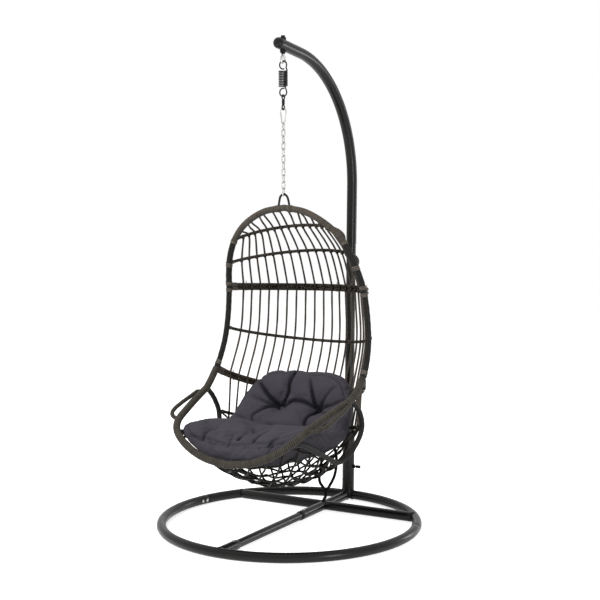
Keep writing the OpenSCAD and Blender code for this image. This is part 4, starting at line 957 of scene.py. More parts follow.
# Rails: piece and node, the hoops they follow, their level (0 for a single rail, 1 and -1 for the upper and
# the lower one of a pair) and the radius of the tube that carries them
rails = (("hoodRails", "hood_rails", ("one", "two"), 0, rimRadius),
         ("hoodJointRail", "hood_joint_rail", ("joint",), 1, rimRadius),
         ("backJointRail", "back_joint_rail", ("joint",), -1, egg["sideRadius"]),
         ("backRail", "back_rail", ("middle",), 0, egg["sideRadius"]),
         ("backLowerRail", "back_lower_rail", ("seat",), 1, egg["sideRadius"]),
         ("seatJointRail", "seat_joint_rail", ("seat",), -1, egg["frontRadius"]),
         ("seatLowerRail", "seat_lower_rail", ("low",), 0, egg["bucketRadius"]))


def railSize(level):
    return egg["doubleRadius" if level else "railRadius"]


# Windings side by side: half round ridges, each made of six rings
def wound(path, radius, pitch, ridge=0.0007, sides=20, side=(0.0, 1.0, 0.02), slant=0.4):
    far = pathLength(path)[-1]
    count = max(1, int(round(far / pitch)))
    saw = np.array([-1.0, -0.82, -0.42, 0.0, 0.42, 0.82])
    places = ((np.arange(count)[:, None] + (saw + 1) / 2) * far / count).ravel()
    places = np.append(places, far)
    high = np.append(np.tile(np.sqrt(1 - saw ** 2), count), 0.0)
    points = rings(path, places, radius - ridge + ridge * high, sides, side, slant * pitch)
    return surface(points, places * pitch * count / far)


# Strands laid along a tube side by side, each a half round ridge, with a slow twist
def stranded(path, radius, strands=9, ridge=0.0011, step=0.006, side=(0.0, 1.0, 0.02), twist=0.0):
    places = spaced(path, step, 3)
    sides = strands * 6
    turn = np.arange(sides) / sides * strands + twist * places[:, None]
    saw = 2 * (turn % 1) - 1
    swell = 0.00025 * np.sin(places[:, None] * 190 + 2.1 * np.floor(turn % strands))
    radius = radius - ridge + ridge * np.sqrt(1 - 0.98 * saw ** 2) + swell
    return surface(rings(path, places, radius, sides, side), places)


def rimPath(start, stop, count=120):
    return dense(curves["rim"], start, stop, count)


def sleeve(path, middle, length, radius):
    low, high = max(0.0, middle - length / 2), min(pathLength(path)[-1], middle + length / 2)
    return wound(along(path, np.linspace(low, high, 12))[0], radius, sleevePitch, 0.0008, 20)


def placeOnRim(place):
    return pathLength(rimPath(0, place, 200))[-1]


def makeHoodRim():
    side, joint, seam = egg["sideRadius"], egg["hoodSeam"], egg["seatSeam"]
    top = bothHalves(rimPath(0, egg["topEnd"]))
    makePiece("hoodRimTop", [wound(top, rimRadius + egg["wrapRise"], hoodPitch, 0.0009, 24)], hoodWrap, "chair",
              "wicker_taupe", "hood_rim")
    strands, bands = [], []
    for _, turn in bothSides:
        strands.append(stranded(turn(rimPath(egg["topEnd"], joint)), rimRadius))
        strands.append(stranded(turn(rimPath(joint + egg["tubeGap"], seam, 160)), side))
        whole = turn(rimPath(0, seam, 400))
        for place, size, length in ((egg["topEnd"], rimRadius, 0.012), (4.58, rimRadius, 0.020),
                                    (5.60, rimRadius, 0.016), (5.95, side, 0.016), (9.13, side, 0.020)):
            bands.append(sleeve(whole, placeOnRim(place), length, size + egg["bandRise"]))
    makePiece("sideTubes", strands, sideStrands, "chair", "wicker_dark", "back_side_left", "back_side_right")
    makePiece("sideBindings", bands, sleeveWrap, "chair", "wicker_taupe")


# End angle of a rail: where its line comes to the skin of the tube that carries it, found by halving
def endAngle(h, up, radius):
    key = "bucket" if h is hoops["low"] else "rim"
    run = unit(np.diff(smoothCurve(curves[key], [h["place"] - 0.1, h["place"] + 0.1]), axis=0))[0]
    normal = unit(yAxis - (yAxis @ run) * run)
    low, high = 60.0, 90.0
    for _ in range(16):
        middle = (low + high) / 2
        if (hoopPoint(h, middle, 0.0, up) - h["end"]) @ normal > radius:
            low = middle
        else:
            high = middle
    return middle


def railPath(h, up, radius):
    end = endAngle(h, up, radius)
    return hoopPoint(h, np.linspace(-end, end, 160), 0.0, up)

def makeRails():
    cuffs = []
    for name, node, keys, level, tube in rails:
        size, length = railSize(level), 0.030 if level else 0.012
        parts = []
        for key in keys:
            path = railPath(hoops[key], level * doubleHalf, tube)
            parts.append(wound(path, size + egg["railRise"], railPitch, 0.0008, 14, zAxis))
            inset = length / 2 + 0.001
            if key != "one":
                cuffs += [sleeve(path, place, length, size + egg["cuffRise"])
                          for place in (inset, pathLength(path)[-1] - inset)]
        makePiece(name, parts, railWrap, "chair", "wicker_dark", node)
    makePiece("railCuffs", cuffs, sleeveWrap, "chair", "wicker_taupe")


# ---------- egg: slats ----------

# The hood's upper slats meet the rim in pairs: the first pair and the pace from pair to pair on each side,
# the gap in a pair, and how far its lower and upper slats bow
pairs = {"start": 15, "left": 65, "right": 46, "gap": 16, "low": 0.05, "highLeft": 0.13, "highRight": 0.07,
         "bowCentre": (0, 60, 1040)}
halfGap = egg["doubleGap"] / 2


def rimAt(distance):
    point = along(rimPath(0, 4, 400), [abs(distance) * mm])[0][0]
    return mirrored(point) if distance < 0 else point


def hoodSlat(i, degrees):
    foot = hoopPoint(hoops["joint"], degrees, doubleInset + 0.0005)
    one = hoopPoint(hoops["two"], degrees, singleInset)
    two = hoopPoint(hoops["one"], degrees, singleInset + 0.0003)
    points = [foot + (halfGap - 0.001) * zAxis, foot + (doubleHalf + 0.002) * zAxis, one, two]
    if abs(i) == egg["slatsEachSide"]:
        points.append(two + 0.06 * (two - one))
    else:
        pace = pairs["left"] if i < 0 else pairs["right"]
        seat = rimAt(pairs["start"] + pace * (i // 2 + 1) + (-1 if i % 2 == 0 else 1) * pairs["gap"] / 2)
        low = hoopPoint(hoops["one"], degrees, singleInset)
        bulge = pairs["low"] if i % 2 == 0 else pairs["highLeft"] if i < 0 else pairs["highRight"]
        half = (low + seat) / 2
        out = unit(half - chairPoint(pairs["bowCentre"]))
        points += [half + bulge * np.linalg.norm(seat - low) * out, seat]
    return np.vstack([points[0], dense(points, 1, len(points) - 1, 90)])


def backSlat(degrees):
    top = hoopPoint(hoops["joint"], degrees, doubleInset + 0.0005)
    low = hoopPoint(hoops["seat"], degrees, doubleInset)
    points = [top - (doubleHalf + 0.002) * zAxis, hoopPoint(hoops["middle"], degrees, singleInset),
              low + (doubleHalf + 0.002) * zAxis]
    end = (halfGap - 0.001) * zAxis
    return np.vstack([top - end, dense(points, 0, 2, 70), low + end])


def seatSlat(degrees):
    top = hoopPoint(hoops["seat"], degrees, doubleInset)
    low = hoopPoint(hoops["low"], degrees, singleInset)
    return np.vstack([top - (halfGap - 0.001) * zAxis, top - (doubleHalf + 0.002) * zAxis, low + 0.003 * zAxis,
                      low - (egg["railRadius"] + 0.002) * zAxis])


def slatTube(path, seed):
    places = spaced(path, 0.012, 4)
    wobble = 0.00018 * np.sin(places * 60 + seed * 1.7)
    return surface(rings(path, places, egg["slatRadius"] + 0.0007 + wobble, 12, (1.0, 0.0, 0.001)), places)


# A binding crosses rail and slat aslant: an egg-shaped band, wide round the rail and narrow round the slat
def crossBands(h, degrees, level):
    inset, size = doubleInset if level else singleInset, railSize(level)
    centre, normal = hoopPoint(h, degrees, inset / 2, level * doubleHalf), inwards(h, degrees)
    slatWay = unit(zAxis * math.cos(h["lean"]) + normal * [1, 1, 0] * math.sin(h["lean"]))
    railWay = unit(hoopPoint(h, degrees + 0.5) - hoopPoint(h, degrees - 0.5))
    a = circle(14)[:, None]
    deep = inset / 2 + (size + egg["slatRadius"]) / 2 + 0.0012
    share = (1 + np.cos(a)) / 2
    width = share * 1.5 * egg["slatRadius"] + (1 - share) * 1.4 * size
    bands = []
    for sign in (1, -1):
        path = centre + deep * np.cos(a) * normal + width * np.sin(a) * unit(railWay + sign * slatWay)
        bands.append(closedWire(path, 0.0019, 5, unit(railWay - sign * slatWay)))
    return bands


def makeSlats():
    sets = {"hood": [hoodSlat(i, d) for i, d in zip(slatNumbers, slatDegrees)],
            "back": [backSlat(d) for d in slatDegrees], "seat": [seatSlat(d) for d in slatDegrees]}
    for name, paths in sets.items():
        tubes = [slatTube(path, k) for k, path in enumerate(paths)]
        makePiece(name + "Slats", tubes, slatWrap, "chair", "wicker_taupe", name + "_slats")
    knots = []
    for _, _, keys, level, _ in rails:
        for key in keys:
            for degrees in slatDegrees:
                knots += crossBands(hoops[key], degrees, level)
    makePiece("crossingBands", knots, knotWrap, "chair", "wicker_dark")


# ---------- egg: seat ----------


def makeSeatRim():
    seam = rimPath(egg["seatSeam"] + egg["tubeGap"], 11, 60)
    path = bothHalves(np.vstack([dense(curves["front"], 0, 7, 300), seam[::-1][1:]]))
    rim = wound(path, egg["frontRadius"] + egg["wrapRise"], seatPitch, 0.0011, 22, (0, 0.6, 1))
    makePiece("seatRim", [rim], seatWrap, "chair", "wicker_taupe", "seat_rim")
    for side, turn in bothSides:
        path = turn(np.vstack([smoothCurve(curves["front"], [6.55]), dense(curves["arm"], 0, 6, 200)]))
        loop = wound(path, egg["armRadius"] + 0.0003, 0.0056, 0.0009, 16, zAxis)
        makePiece("armLoop" + side, [loop], seatWrap, "chair", "wicker_taupe", "arm_loop_" + side.lower())
    for side, turn in bothSides:
        path = turn(dense(curves["bucket"], 0.15, 9.85, 300))
        tube = stranded(path, egg["bucketRadius"] + 0.0006, 7, 0.0012, side=(1, 0, 0.02), twist=3.0)
        node = "bucket_tube_" + side.lower()
        makePiece("bucketTube" + side, [tube], sideStrands, "chair", "wicker_dark", node)


net = {"centre": (0.0, -0.020), "bottom": 177, "power": 1.7, "cord": 0.0035, "cords": 14, "sides": 8,
       "step": 0.0045, "lay": 0.024}


def netEdge():
    front = smoothCurve(curves["front"], np.linspace(0, 3.2, 5))
    bucket = smoothCurve(curves["bucket"], np.linspace(8.6, 2, 9))
    rail = hoopPoint(hoops["low"], [66, 44, 22, 0]) - [0, 0, egg["railRadius"] + net["cord"]]
    half = np.vstack([front, bucket, rail])
    whole = np.vstack([half, mirrored(half[1:-1])[::-1]])
    x, y = whole[:, 0], net["centre"][1] + hangY - whole[:, 1]
    angle = np.degrees(np.arctan2(x, y)) % 360
    angle[0] = 0.0
    return np.append(angle, 360.0), np.vstack([whole, whole[:1]])


edgeAngles, edgePoints = netEdge()
netCentre = np.array([net["centre"][0], net["centre"][1] + hangY])
netBottom = net["bottom"] * mm + lift


def edgeAt(x, y):
    angle = np.degrees(np.arctan2(x, -y)) % 360
    return np.stack([np.interp(angle, edgeAngles, edgePoints[:, k]) for k in range(3)], -1)


# The bowl over the unit disc: each ray runs out to the edge, and the height climbs with a power of the radius
def bowl(u, v, up):
    rho = np.hypot(u, v)
    edge = edgeAt(u, v)
    flat = netCentre + rho[..., None] * (edge[..., :2] - netCentre)
    z = netBottom + up + (edge[..., 2] - netBottom) * rho ** net["power"]
    return np.concatenate([flat, z[..., None]], -1)


# Net cords weave over and under: the height swings as a cosine that turns over at each crossing
def makeNet():
    count, sides = net["cords"], net["sides"]
    pace = 2 / count
    grids = []
    for sign in (1, -1):
        cosine, sine = math.cos(math.radians(45)), sign * math.sin(math.radians(45))
        for k in range(count):
            c = (k + 0.5) * pace - 1
            reach = math.sqrt(1 - c * c)
            t = np.linspace(-reach, reach, 90)
            order = k if sign > 0 else count - 1 - k
            swing = sign * np.cos(np.pi * ((t + 1 - 0.5 * pace) / pace + order))
            path = bowl(c * cosine - t * sine, c * sine + t * cosine, 0.0)
            path = path + (net["cord"] * 0.98 * swing)[:, None] * zAxis
            places = spaced(path, net["step"], 8)
            twist = 2 * np.pi * places[:, None] / net["lay"] + circle(sides)[None]
            radius = net["cord"] * (1.0 + 0.2 * np.abs(np.cos(twist)))
            grids.append(surface(rings(path, places, radius, sides), places))
    makePiece("seatNet", grids, netStrands, "chair", "wicker_dark", "seat_net")


def makeLoop():
    top, foot = heights["loopTop"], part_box("hanging_loop")[0].z
    half = np.array([(0, 0, top), (0.014, 0, top - 0.008), (0.020, 0.001, top - 0.024),
                     (0.025, 0.002, foot - 0.006)])
    path = dense(bothHalves(half) + [0, hangY, 0])
    places = np.linspace(0, pathLength(path)[-1], 70)
    parts = [surface(rings(path, places, hanger["loopWire"] + 0.0008, 14, yAxis), places)]
    rim = bothHalves(rimPath(0, 1))
    middle = pathLength(rim)[-1] / 2
    wraps = [sleeve(rim, middle + side * 0.0265, 0.018, rimRadius + egg["loopRise"]) for side in (-1, 1)]
    makePiece("hangingLoop", parts, blackSteel, "chair", "black_steel", "hanging_loop")
    makePiece("loopBindings", wraps, hoodWrap, "chair", "wicker_taupe")


# Bolts and nuts that hold the doubled rails together, through both tubes
def makeFrameBolts():
    middle = np.interp([0.5, 9.5], slatNumbers, slatDegrees)
    stack = doubleHalf + egg["doubleRadius"]
    radii = nutRadii(2 * 0.00476, [0.0026, 0.0048, 1, 1, 0.0048, 0.0026], circle(24))
    bolts, nuts = [], []
    for key in ("joint", "seat"):
        for degrees in (-middle[1], middle[0], middle[1]):
            at = hoopPoint(hoops[key], degrees)
            slope = unit(hoopPoint(hoops[key], degrees + 1) - hoopPoint(hoops[key], degrees - 1))
            rise = abs(slope[2]) / math.hypot(slope[0], slope[1])
            low, high = stack + 0.0003 + 0.005 * rise, stack + 0.0003 + 0.0055 * rise
            path = straight(at - (low + 0.0025) * zAxis, at + (stack + 0.01) * zAxis)
            profile = [(0, 0.003), (0.0004, 0.0046), (0.0012, 0.005), (0.0025, 0.005), (0.0025, 0.0025),
                       (low + stack + 0.0115, 0.0025), (low + stack + 0.0125, 0.0018)]
            bolts.append(turned(path, profile, 20))
            seat = straight(at + high * zAxis, at + (high + 0.01) * zAxis)
            nuts.append(surface(rings(seat, [0, 0, 0.0007, 0.0043, 0.005, 0.005], radii, 24), loop=True))
    makePiece("frameBolts", bolts, zincSteel, "chair", "zinc_steel", "frame_bolts")
    makePiece("frameNuts", nuts, springSteel, "chair", "black_steel", "frame_nuts")


makeHoodRim()
makeRails()
makeSlats()
print("cage made")
makeSeatRim()
makeNet()
makeLoop()
makeFrameBolts()
print("seat frame made")

# ---------- cushion ----------

# Middle line in millimetres: y back from the hanging axis, z up. Places on the cloth are counted in
# millimetres across and along from the front edge.
cushion = {
    "line": [(-388, 352), (-300, 354), (-180, 354), (-75, 348), (10, 362), (75, 420), (128, 508), (168, 606)],
    "thickness": 150, "halfWidth": 268, "corner": 0.42, "edge": 6, "sideLift": 22, "hornLift": 74,
    "hornLow": 0.35, "frontReach": 24, "backWrap": 36, "backTaper": 52, "backThin": 24, "cornerReach": 30,
    "cornerRise": 14, "under": 0.6, "place": 82, "foldPlace": 303, "foldDepth": 34, "foldWidth": 36,
    "foldReach": 330, "rows": 120, "lowRows": 44, "spokes": 360, "voxel": 0.0060, "slack": 5, "frames": 18,
    "pressure": 2.5, "cap": 0.011, "reach": 4.2, "slit": 0.2, "seam": 0.94, "gather": 13.0, "lumps": 26,
    # buttons: across, along, depth, width of the pit
    "tufts": [(-75, 445, 46, 26), (110, 447, 46, 26)],
    # broad hollows: across, along, depth, width
    "hollows": [(5, 150, 12, 34), (-165, 122, 10, 30), (-60, 100, 8, 80), (150, 150, 8, 60), (205, 330, 12, 40),
                (-205, 330, 10, 40)],
    # creases: depth, width, depth left at the far end, then the places that they pass through
    "creases": [
        (27, 9, 0.4, [(-75, 445), (-91, 454), (-127, 478), (-172, 516)]),
        (15, 10, 0.2, [(-75, 445), (-99, 448), (-130, 450), (-185, 462)]),
        (18, 12, 0.3, [(-75, 445), (-102, 441), (-144, 395), (-153, 358), (-132, 300)]),
        (28, 10, 0.6, [(-75, 445), (-59, 454), (-42, 492), (-46, 524), (-36, 565), (-30, 600)]),
        (19, 10, 0.9, [(-75, 445), (-48, 446), (-8, 465), (30, 466), (65, 459), (110, 447)]),
        (27, 9, 0.3, [(110, 447), (92, 458), (71, 496), (47, 540)]),
        (15, 12, 0.1, [(110, 447), (134, 481), (172, 520)]),
        (20, 10, 0.3, [(110, 447), (140, 451), (180, 458), (235, 480)]),
        (26, 10, 0.5, [(110, 447), (100, 430), (82, 400), (86, 365), (98, 325)]),
        (10, 14, 0.0, [(110, 447), (150, 425), (200, 405), (240, 400)]),
        (17, 9, 0.4, [(-142, 28), (-154, 61), (-152, 112)]),
        (7, 8, 0.2, [(-124, 40), (-94, 14)]),
        (10, 9, 0.2, [(-24, 20), (-41, 64), (-58, 100)]),
        (21, 10, 0.4, [(-9, 62), (-22, 105), (-5, 135)]),
        (14, 10, 0.3, [(66, 50), (47, 110), (33, 165)]),
        (19, 8, 0.4, [(146, 30), (143, 60), (140, 92)]),
        (13, 8, 0.3, [(156, 40), (159, 21), (152, 4)]),
        (9, 9, 0.2, [(160, 62), (190, 81), (222, 92)]),
        (9, 10, 0.0, [(-22, 150), (-60, 190), (-110, 200)]),
        (11, 10, 0.1, [(232, 180), (205, 215), (214, 270)]),
        (11, 10, 0.1, [(-232, 180), (-205, 225), (-214, 280)]),
        (6, 7, 0.8, [(-200, 26), (-109, 34), (-26, 25), (41, 32), (101, 40), (200, 36)])]}


def cushionLine(q):
    return smoothCurve(cushion["line"], q)


# Distance from a crease and its depth there, which falls from its first place to its last
def creaseDepth(across, down, crease):
    depth, _, left, points = crease
    line = smoothCurve(points, np.linspace(0, len(points) - 1, 6 * len(points)))
    far = pathLength(line)
    nearest, share = np.full(across.shape, 1e9), np.zeros(across.shape)
    for (x0, y0), (x1, y1), s0, s1 in zip(line[:-1], line[1:], far[:-1], far[1:]):
        t = np.clip(((across - x0) * (x1 - x0) + (down - y0) * (y1 - y0)) / (s1 - s0) ** 2, 0, 1)
        off = np.hypot(across - x0 - t * (x1 - x0), down - y0 - t * (y1 - y0))
        closer = off < nearest
        nearest = np.where(closer, off, nearest)
        share = np.where(closer, (s0 + t * (s1 - s0)) / far[-1], share)
    deep = depth * (left + (1 - left) * (1 - share) ** 0.8)
    return nearest, deep


# How far the cloth is drawn in, how firmly it is held, and how deep its slits are, at a place on the top side.
# Beside a crease the cloth swells as a quarter ellipse: dent = depth (1 - sqrt(1 - (1 - off / reach)^2)).
def drawnIn(across, down):
    c = cushion
    dent = c["foldDepth"] * np.exp(-(((down - c["foldPlace"]) / c["foldWidth"]) ** 2))
    dent = dent * (1 - (across / c["foldReach"]) ** 2)
    held, slit = np.zeros(across.shape), np.zeros(across.shape)
    for x, y, depth, width in c["tufts"]:
        r = np.hypot(across - x, down - y)
        dent += depth * (0.55 * np.exp(-((r / width) ** 2)) + 0.45 * np.exp(-r / (1.6 * width)))
        held = np.maximum(held, np.exp(-((r / 12) ** 4)))
    for x, y, depth, width in c["hollows"]:
        dent += depth * np.exp(-((across - x) ** 2 + (down - y) ** 2) / width ** 2)
    valley = np.zeros(across.shape)
    for crease in c["creases"]:
        off, deep = creaseDepth(across, down, crease)
        near = np.clip(1 - off / (c["reach"] * crease[1]), 0, 1)
        valley = np.maximum(valley, deep * (1 - np.sqrt(1 - near ** 2)))
        slit = np.maximum(slit, deep * np.exp(-((off / 6.5) ** 2)))
        held = np.maximum(held, np.clip(deep / 7, 0, 1) * np.exp(-((off / 6) ** 2)))
    return dent + valley, held, slit


# Height of the seat net's bowl, on which the cushion's underside rests
def bowlHeight(x, y):
    edge = edgeAt(x - netCentre[0], y - netCentre[1])
    flat = np.hypot(edge[..., 0] - netCentre[0], edge[..., 1] - netCentre[1])
    rho = np.hypot(x - netCentre[0], y - netCentre[1]) / flat
    high = netBottom + (edge[..., 2] - netBottom) * rho ** net["power"]
    return high + 2 * net["cord"] + 0.0006 + 0.012 * rho ** 6


def fillLumps(across, down, seed):
    rng = np.random.default_rng(seed)
    lumps = np.zeros_like(across)
    for _ in range(cushion["lumps"]):
        size = rng.uniform(28, 75)
        x, y, high = rng.uniform(-250, 250), rng.uniform(0, 574), rng.uniform(-2.5, 3.0)
        lumps += high * np.exp(-((across - x) ** 2 + (down - y) ** 2) / size ** 2)
    return lumps


# A point of the cushion for a share of the way out (rho), an angle round it and a side (1 top, -1 below).
# The plan is a superellipse bent along the middle line; its half thickness is sqrt(1 - rho^edge).
def cushionPoint(rho, a, face, slack=0.0):
    c = cushion
    u = rho * np.sign(np.cos(a)) * np.abs(np.cos(a)) ** c["corner"]
    v = rho * np.sign(np.sin(a)) * np.abs(np.sin(a)) ** c["corner"]
    last = len(c["line"]) - 1
    q = (u + 1) / 2 * last
    p = cushionLine(q.ravel()).reshape(q.shape + (2,))
    ahead = cushionLine(np.minimum(q + 0.1, last).ravel()) - cushionLine(np.maximum(q - 0.1, 0).ravel())
    t = unit(ahead).reshape(q.shape + (2,))
    back = np.maximum(u, 0)
    half = (c["thickness"] / 2 - slack - c["backThin"] * back) * np.sqrt(np.maximum(1 - rho ** c["edge"], 0))
    across = (c["halfWidth"] - slack - c["backTaper"] * back ** 2) * v
    down = q * c["place"]
    dent = drawnIn(across, down)[0]
    top = half - (dent - fillLumps(across, down, 4)) * np.clip(1 - rho ** 8, 0, 1)
    flat = c["under"] + (1 - c["under"]) * np.clip((u - 0.1) / 0.5, 0, 1)
    puff = np.where(face > 0, top, -half * flat)
    horn = c["hornLift"] * (c["hornLow"] + (1 - c["hornLow"]) * np.clip((-u - 0.25) / 0.6, 0, 1) ** 1.5)
    front = c["sideLift"] * v * v + horn * v ** 4
    lifted = np.where(u < 0, front, front * (1 - u) + c["backWrap"] * u * v * v)
    m = p + np.stack([-t[..., 1], t[..., 0]], -1) * (puff + lifted)[..., None]
    corner = np.clip(v, 0, 1) ** 2 * np.clip((u - 0.3) / 0.7, 0, 1)
    across = across + c["cornerReach"] * corner
    across = across + c["frontReach"] * np.sign(v) * v * v * np.clip((-u - 0.3) / 0.6, 0, 1)
    m = m + c["cornerRise"] * corner[..., None] * t
    x, y, z = across * mm, m[..., 0] * mm + hangY, m[..., 1] * mm + lift
    floor = bowlHeight(x, y)
    z = np.maximum(z, floor + np.where((face > 0) & (rho < 0.999), 0.002, 0.0))
    return np.stack([x, y, z], -1)


# Squares of the distances between two sets of points
def squaresBetween(a, b):
    return np.sum(a ** 2, 1)[:, None] + np.sum(b ** 2, 1) - 2 * a @ b.T
# Place on the cloth of points in space: across is x, along is the distance on the middle line of its
# nearest point, and the third value is the height over that line
def clothPlace(points):
    q = np.linspace(0, len(cushion["line"]) - 1, 420)
    line = cushionLine(q)
    way = unit(np.gradient(line, axis=0))
    yz = (points[:, 1:] - [hangY, lift]) / mm
    k = squaresBetween(yz, line).argmin(1)
    off = yz - line[k]
    return points[:, 0] / mm, q[k] * cushion["place"], off[:, 1] * way[k, 0] - off[:, 0] * way[k, 1]


def readMesh(piece):
    source = piece.evaluated_get(bpy.context.evaluated_depsgraph_get())
    mesh = source.to_mesh()
    co = np.zeros(3 * len(mesh.vertices), np.float32)
    mesh.vertices.foreach_get("co", co)
    loops = np.zeros(len(mesh.loops), np.int32)
    mesh.loops.foreach_get("vertex_index", loops)
    starts = np.zeros(len(mesh.polygons), np.int32)
    mesh.polygons.foreach_get("loop_start", starts)
    source.to_mesh_clear()
    return co.reshape(-1, 3).astype(float), loops, starts


# Fill the cover: cloth under pressure, held at the buttons, the creases and where it rests
def inflate(cover, start, hold):
    c = cushion
    group = cover.vertex_groups.new(name="hold")
    steps = np.round(np.clip(hold, 0, 1) * 20).astype(int)
    for step in range(1, 21):
        group.add(np.nonzero(steps == step)[0].tolist(), step / 20, "REPLACE")
    modifier = cover.modifiers.new("fill", "CLOTH")
    cloth = modifier.settings
    cloth.quality, cloth.mass, cloth.air_damping = 6, 0.25, 3.0
    cloth.tension_stiffness = cloth.compression_stiffness = 14
    cloth.shear_stiffness, cloth.bending_stiffness = 6, 0.25
    cloth.use_pressure, cloth.uniform_pressure_force = True, c["pressure"]
    cloth.vertex_group_mass, cloth.pin_stiffness = "hold", 1.0
    cloth.shrink_min = -0.035
    cloth.effector_weights.gravity = 0
    modifier.collision_settings.use_collision = False
    modifier.point_cache.frame_start, modifier.point_cache.frame_end = 1, c["frames"]
    for n in range(1, c["frames"] + 1):
        bpy.context.scene.frame_set(n)
    end, _, _ = readMesh(cover)
    cover.modifiers.remove(modifier)
    bpy.context.scene.frame_set(1)
    move = end - start
    length = np.linalg.norm(move, axis=1, keepdims=True)
    return start + move * np.minimum(1, c["cap"] / np.maximum(length, 1e-9)) * (1 - hold[:, None] ** 3)


def makeCushion():
    c = cushion
    rho = np.concatenate([np.linspace(0.008, 1, c["rows"]) ** 0.9,
                          np.linspace(1, 0.02, c["lowRows"])[1:]])[:, None]
    face = np.concatenate([np.ones(c["rows"]), -np.ones(c["lowRows"] - 1)])[:, None]
    a = circle(c["spokes"])[None]
    points = cushionPoint(rho + 0 * a, a + 0 * rho, face, c["slack"])
    cover = makePiece("cushionCover", [surface(points[:, ::-1])], cushionCloth, None)
    remesh = cover.modifiers.new("remesh", "REMESH")
    remesh.mode, remesh.voxel_size = "VOXEL", c["voxel"]
    start, loops, starts = readMesh(cover)
    cover.modifiers.remove(remesh)
    cover.data = writeMesh("cushionCover", start, loops, starts)
    across, down, over = clothPlace(start)
    held = drawnIn(across, down)[1]
    rests = np.clip(1 - (start[:, 2] - bowlHeight(start[:, 0], start[:, 1])) / 0.02, 0, 1)
    held = np.maximum(held * (over > 0), rests)
    end = inflate(cover, start, held)
    seamAngle = np.linspace(0, 2 * np.pi, 361)[:-1]
    seam = cushionPoint(np.full(360, c["seam"]), seamAngle, np.ones(360), c["slack"])
    near = squaresBetween(start, seam).argmin(0)
    seam = seam + (end - start)[near]
    cover.data = writeMesh("cushionCover", end, loops, starts)
    divide = cover.modifiers.new("divide", "SUBSURF")
    divide.levels = divide.render_levels = 1
    co, loops, starts = readMesh(cover)
    cover.modifiers.remove(divide)
    bpy.data.objects.remove(cover)
    # gathers: along the seam the cloth swells and sinks as a sine of the distance along it, fading away from it
    closed = np.vstack([seam, seam[:1]])
    between = squaresBetween(co, seam)
    k = between.argmin(1)
    off = np.sqrt(np.maximum(between[np.arange(len(co)), k], 0)) / mm
    turn = 2 * np.pi * pathLength(closed)[k] / mm / c["gather"] + 1.3 * np.sin(0.9 * k / 7)
    sink = -3.2 * np.exp(-((off / 4.5) ** 2)) + 1.3 * np.sin(turn) * np.exp(-off / 15) * np.clip(off / 3, 0, 1)
    mesh = writeMesh("cushion", co, loops, starts)
    normal = np.zeros(3 * len(co), np.float32)
    mesh.vertex_normals.foreach_get("vector", normal)
    across, down, over = clothPlace(co)
    slit = np.where(over > 0, drawnIn(across, down)[2], 0)
    sink = sink - c["slit"] * slit
    # painted shade: a darkening share in the creases' slits and in a narrow band along the sunk seam, kept as a
    # point attribute for the cloth's shader
    paintedFoldShade = np.clip(slit / 17, 0, 0.85) ** 0.9 + 0.4 * np.exp(-((off / 3.0) ** 2))
    co = co + normal.reshape(-1, 3) * (sink * mm)[:, None]
    co[:, 2] = np.maximum(co[:, 2], bowlHeight(co[:, 0], co[:, 1]))
    mesh.vertices.foreach_set("co", co.astype(np.float32).ravel())
    mesh.update()
    writeUv(mesh, np.stack([across, down], 1)[loops] * mm)
    shade = mesh.attributes.new("paintedFoldShade", "FLOAT", "POINT").data
    shade.foreach_set("value", np.clip(paintedFoldShade, 0, 0.9).astype(np.float32))
    piece = enterPiece("cushion", mesh, cushionCloth, "chair", "cushion_fabric", "cushion")
    print("cushion:", len(co), "points")


makeCushion()
print("cushion made")

# ---------- floor and light ----------

floorSet = {"half": 9.0, "drop": 0.0005, "glow": 0.75}
worldSet = {"base": 0.30, "seen": 0.70}
# Lamps: place, target, size and power, then a strip's height
lamps = {"keyLight": ((-1.4, -3.2, 4.2), (0, 0, 0.9), 1.5, 240),
         "fillLight": ((3.6, -1.2, 2.4), (0, 0, 0.9), 1.6, 55),
         "rimLight": ((-2.6, 2.6, 3.0), (0, 0, 1.0), 1.6, 50),
         "frontStrip": ((3.4, -1.6, 0.9), (0, 0.5, 1.0), 0.5, 40, 1.5),
         "sideStrip": ((2.3, 3.6, 0.9), (0, 0.5, 1.0), 0.5, 30, 1.5)}


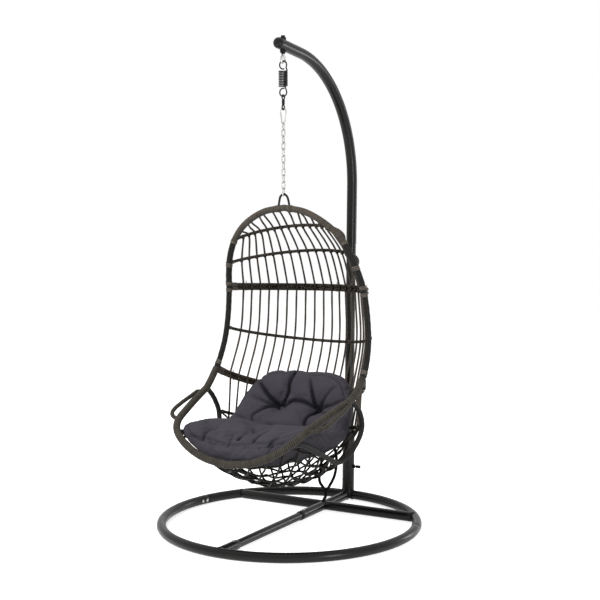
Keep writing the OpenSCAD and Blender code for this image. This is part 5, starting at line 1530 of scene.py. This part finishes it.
# 1 for the rays that come straight from the eye, and for the other kinds named
def seenBy(tree, *kinds):
    ray = put(tree, "ShaderNodeLightPath").outputs
    seen = ray["Is Camera Ray"]
    for kind in kinds:
        seen = calc(tree, "MAXIMUM", seen, ray["Is " + kind + " Ray"])
    return seen


def makeFloor():
    size = floorSet["half"]
    mesh = bpy.data.meshes.new("floor")
    corners = [(-size, -size, 0), (size, -size, 0), (size, size, 0), (-size, size, 0)]
    mesh.from_pydata(corners, [], [(0, 1, 2, 3)])
    floor = addObject("floor", mesh)
    floor.location.z = -floorSet["drop"]
    material = bpy.data.materials.new("floorPaper")
    material.use_nodes = True
    tree = material.node_tree
    shader = tree.nodes["Principled BSDF"]
    for label, value in (("Base Color", (0.86, 0.86, 0.86, 1)), ("Roughness", 0.9), ("Specular IOR Level", 0.1),
                         ("Emission Color", (1, 1, 1, 1))):
        shader.inputs[label].default_value = value
    glow = calc(tree, "MULTIPLY", seenBy(tree, "Glossy"), floorSet["glow"])
    tree.links.new(glow, shader.inputs["Emission Strength"])
    mesh.materials.append(material)


# A round lamp lights surfaces softly and stays out of reflections; a tall strip is only seen in gloss
def makeLamp(name, place, target, size, power, tall=0.0):
    data = bpy.data.lights.new(name, "AREA")
    data.shape = "RECTANGLE" if tall else "DISK"
    data.size, data.size_y = size, tall
    data.energy = power
    lamp = addObject(name, data)
    lamp.visible_glossy, lamp.visible_diffuse = tall > 0, tall == 0
    way = unit(np.asarray(target, float) - np.asarray(place, float))
    side = unit(np.cross(way, zAxis))
    lamp.matrix_world = placed(side, np.cross(side, way), -way, place)


def makeWorld():
    world = bpy.data.worlds.new("studio")
    bpy.context.scene.world = world
    world.use_nodes = True
    tree = world.node_tree
    shader = tree.nodes["Background"]
    seen = calc(tree, "MULTIPLY", seenBy(tree, "Transmission", "Glossy"), worldSet["seen"])
    strength = calc(tree, "ADD", seen, worldSet["base"])
    tree.links.new(strength, shader.inputs["Strength"])
    shader.inputs["Color"].default_value = (1, 1, 1, 1)


makeFloor()
makeWorld()
for name, settings in lamps.items():
    makeLamp(name, *settings)
bpy.context.scene.view_settings.view_transform = "Standard"
print("stage made")
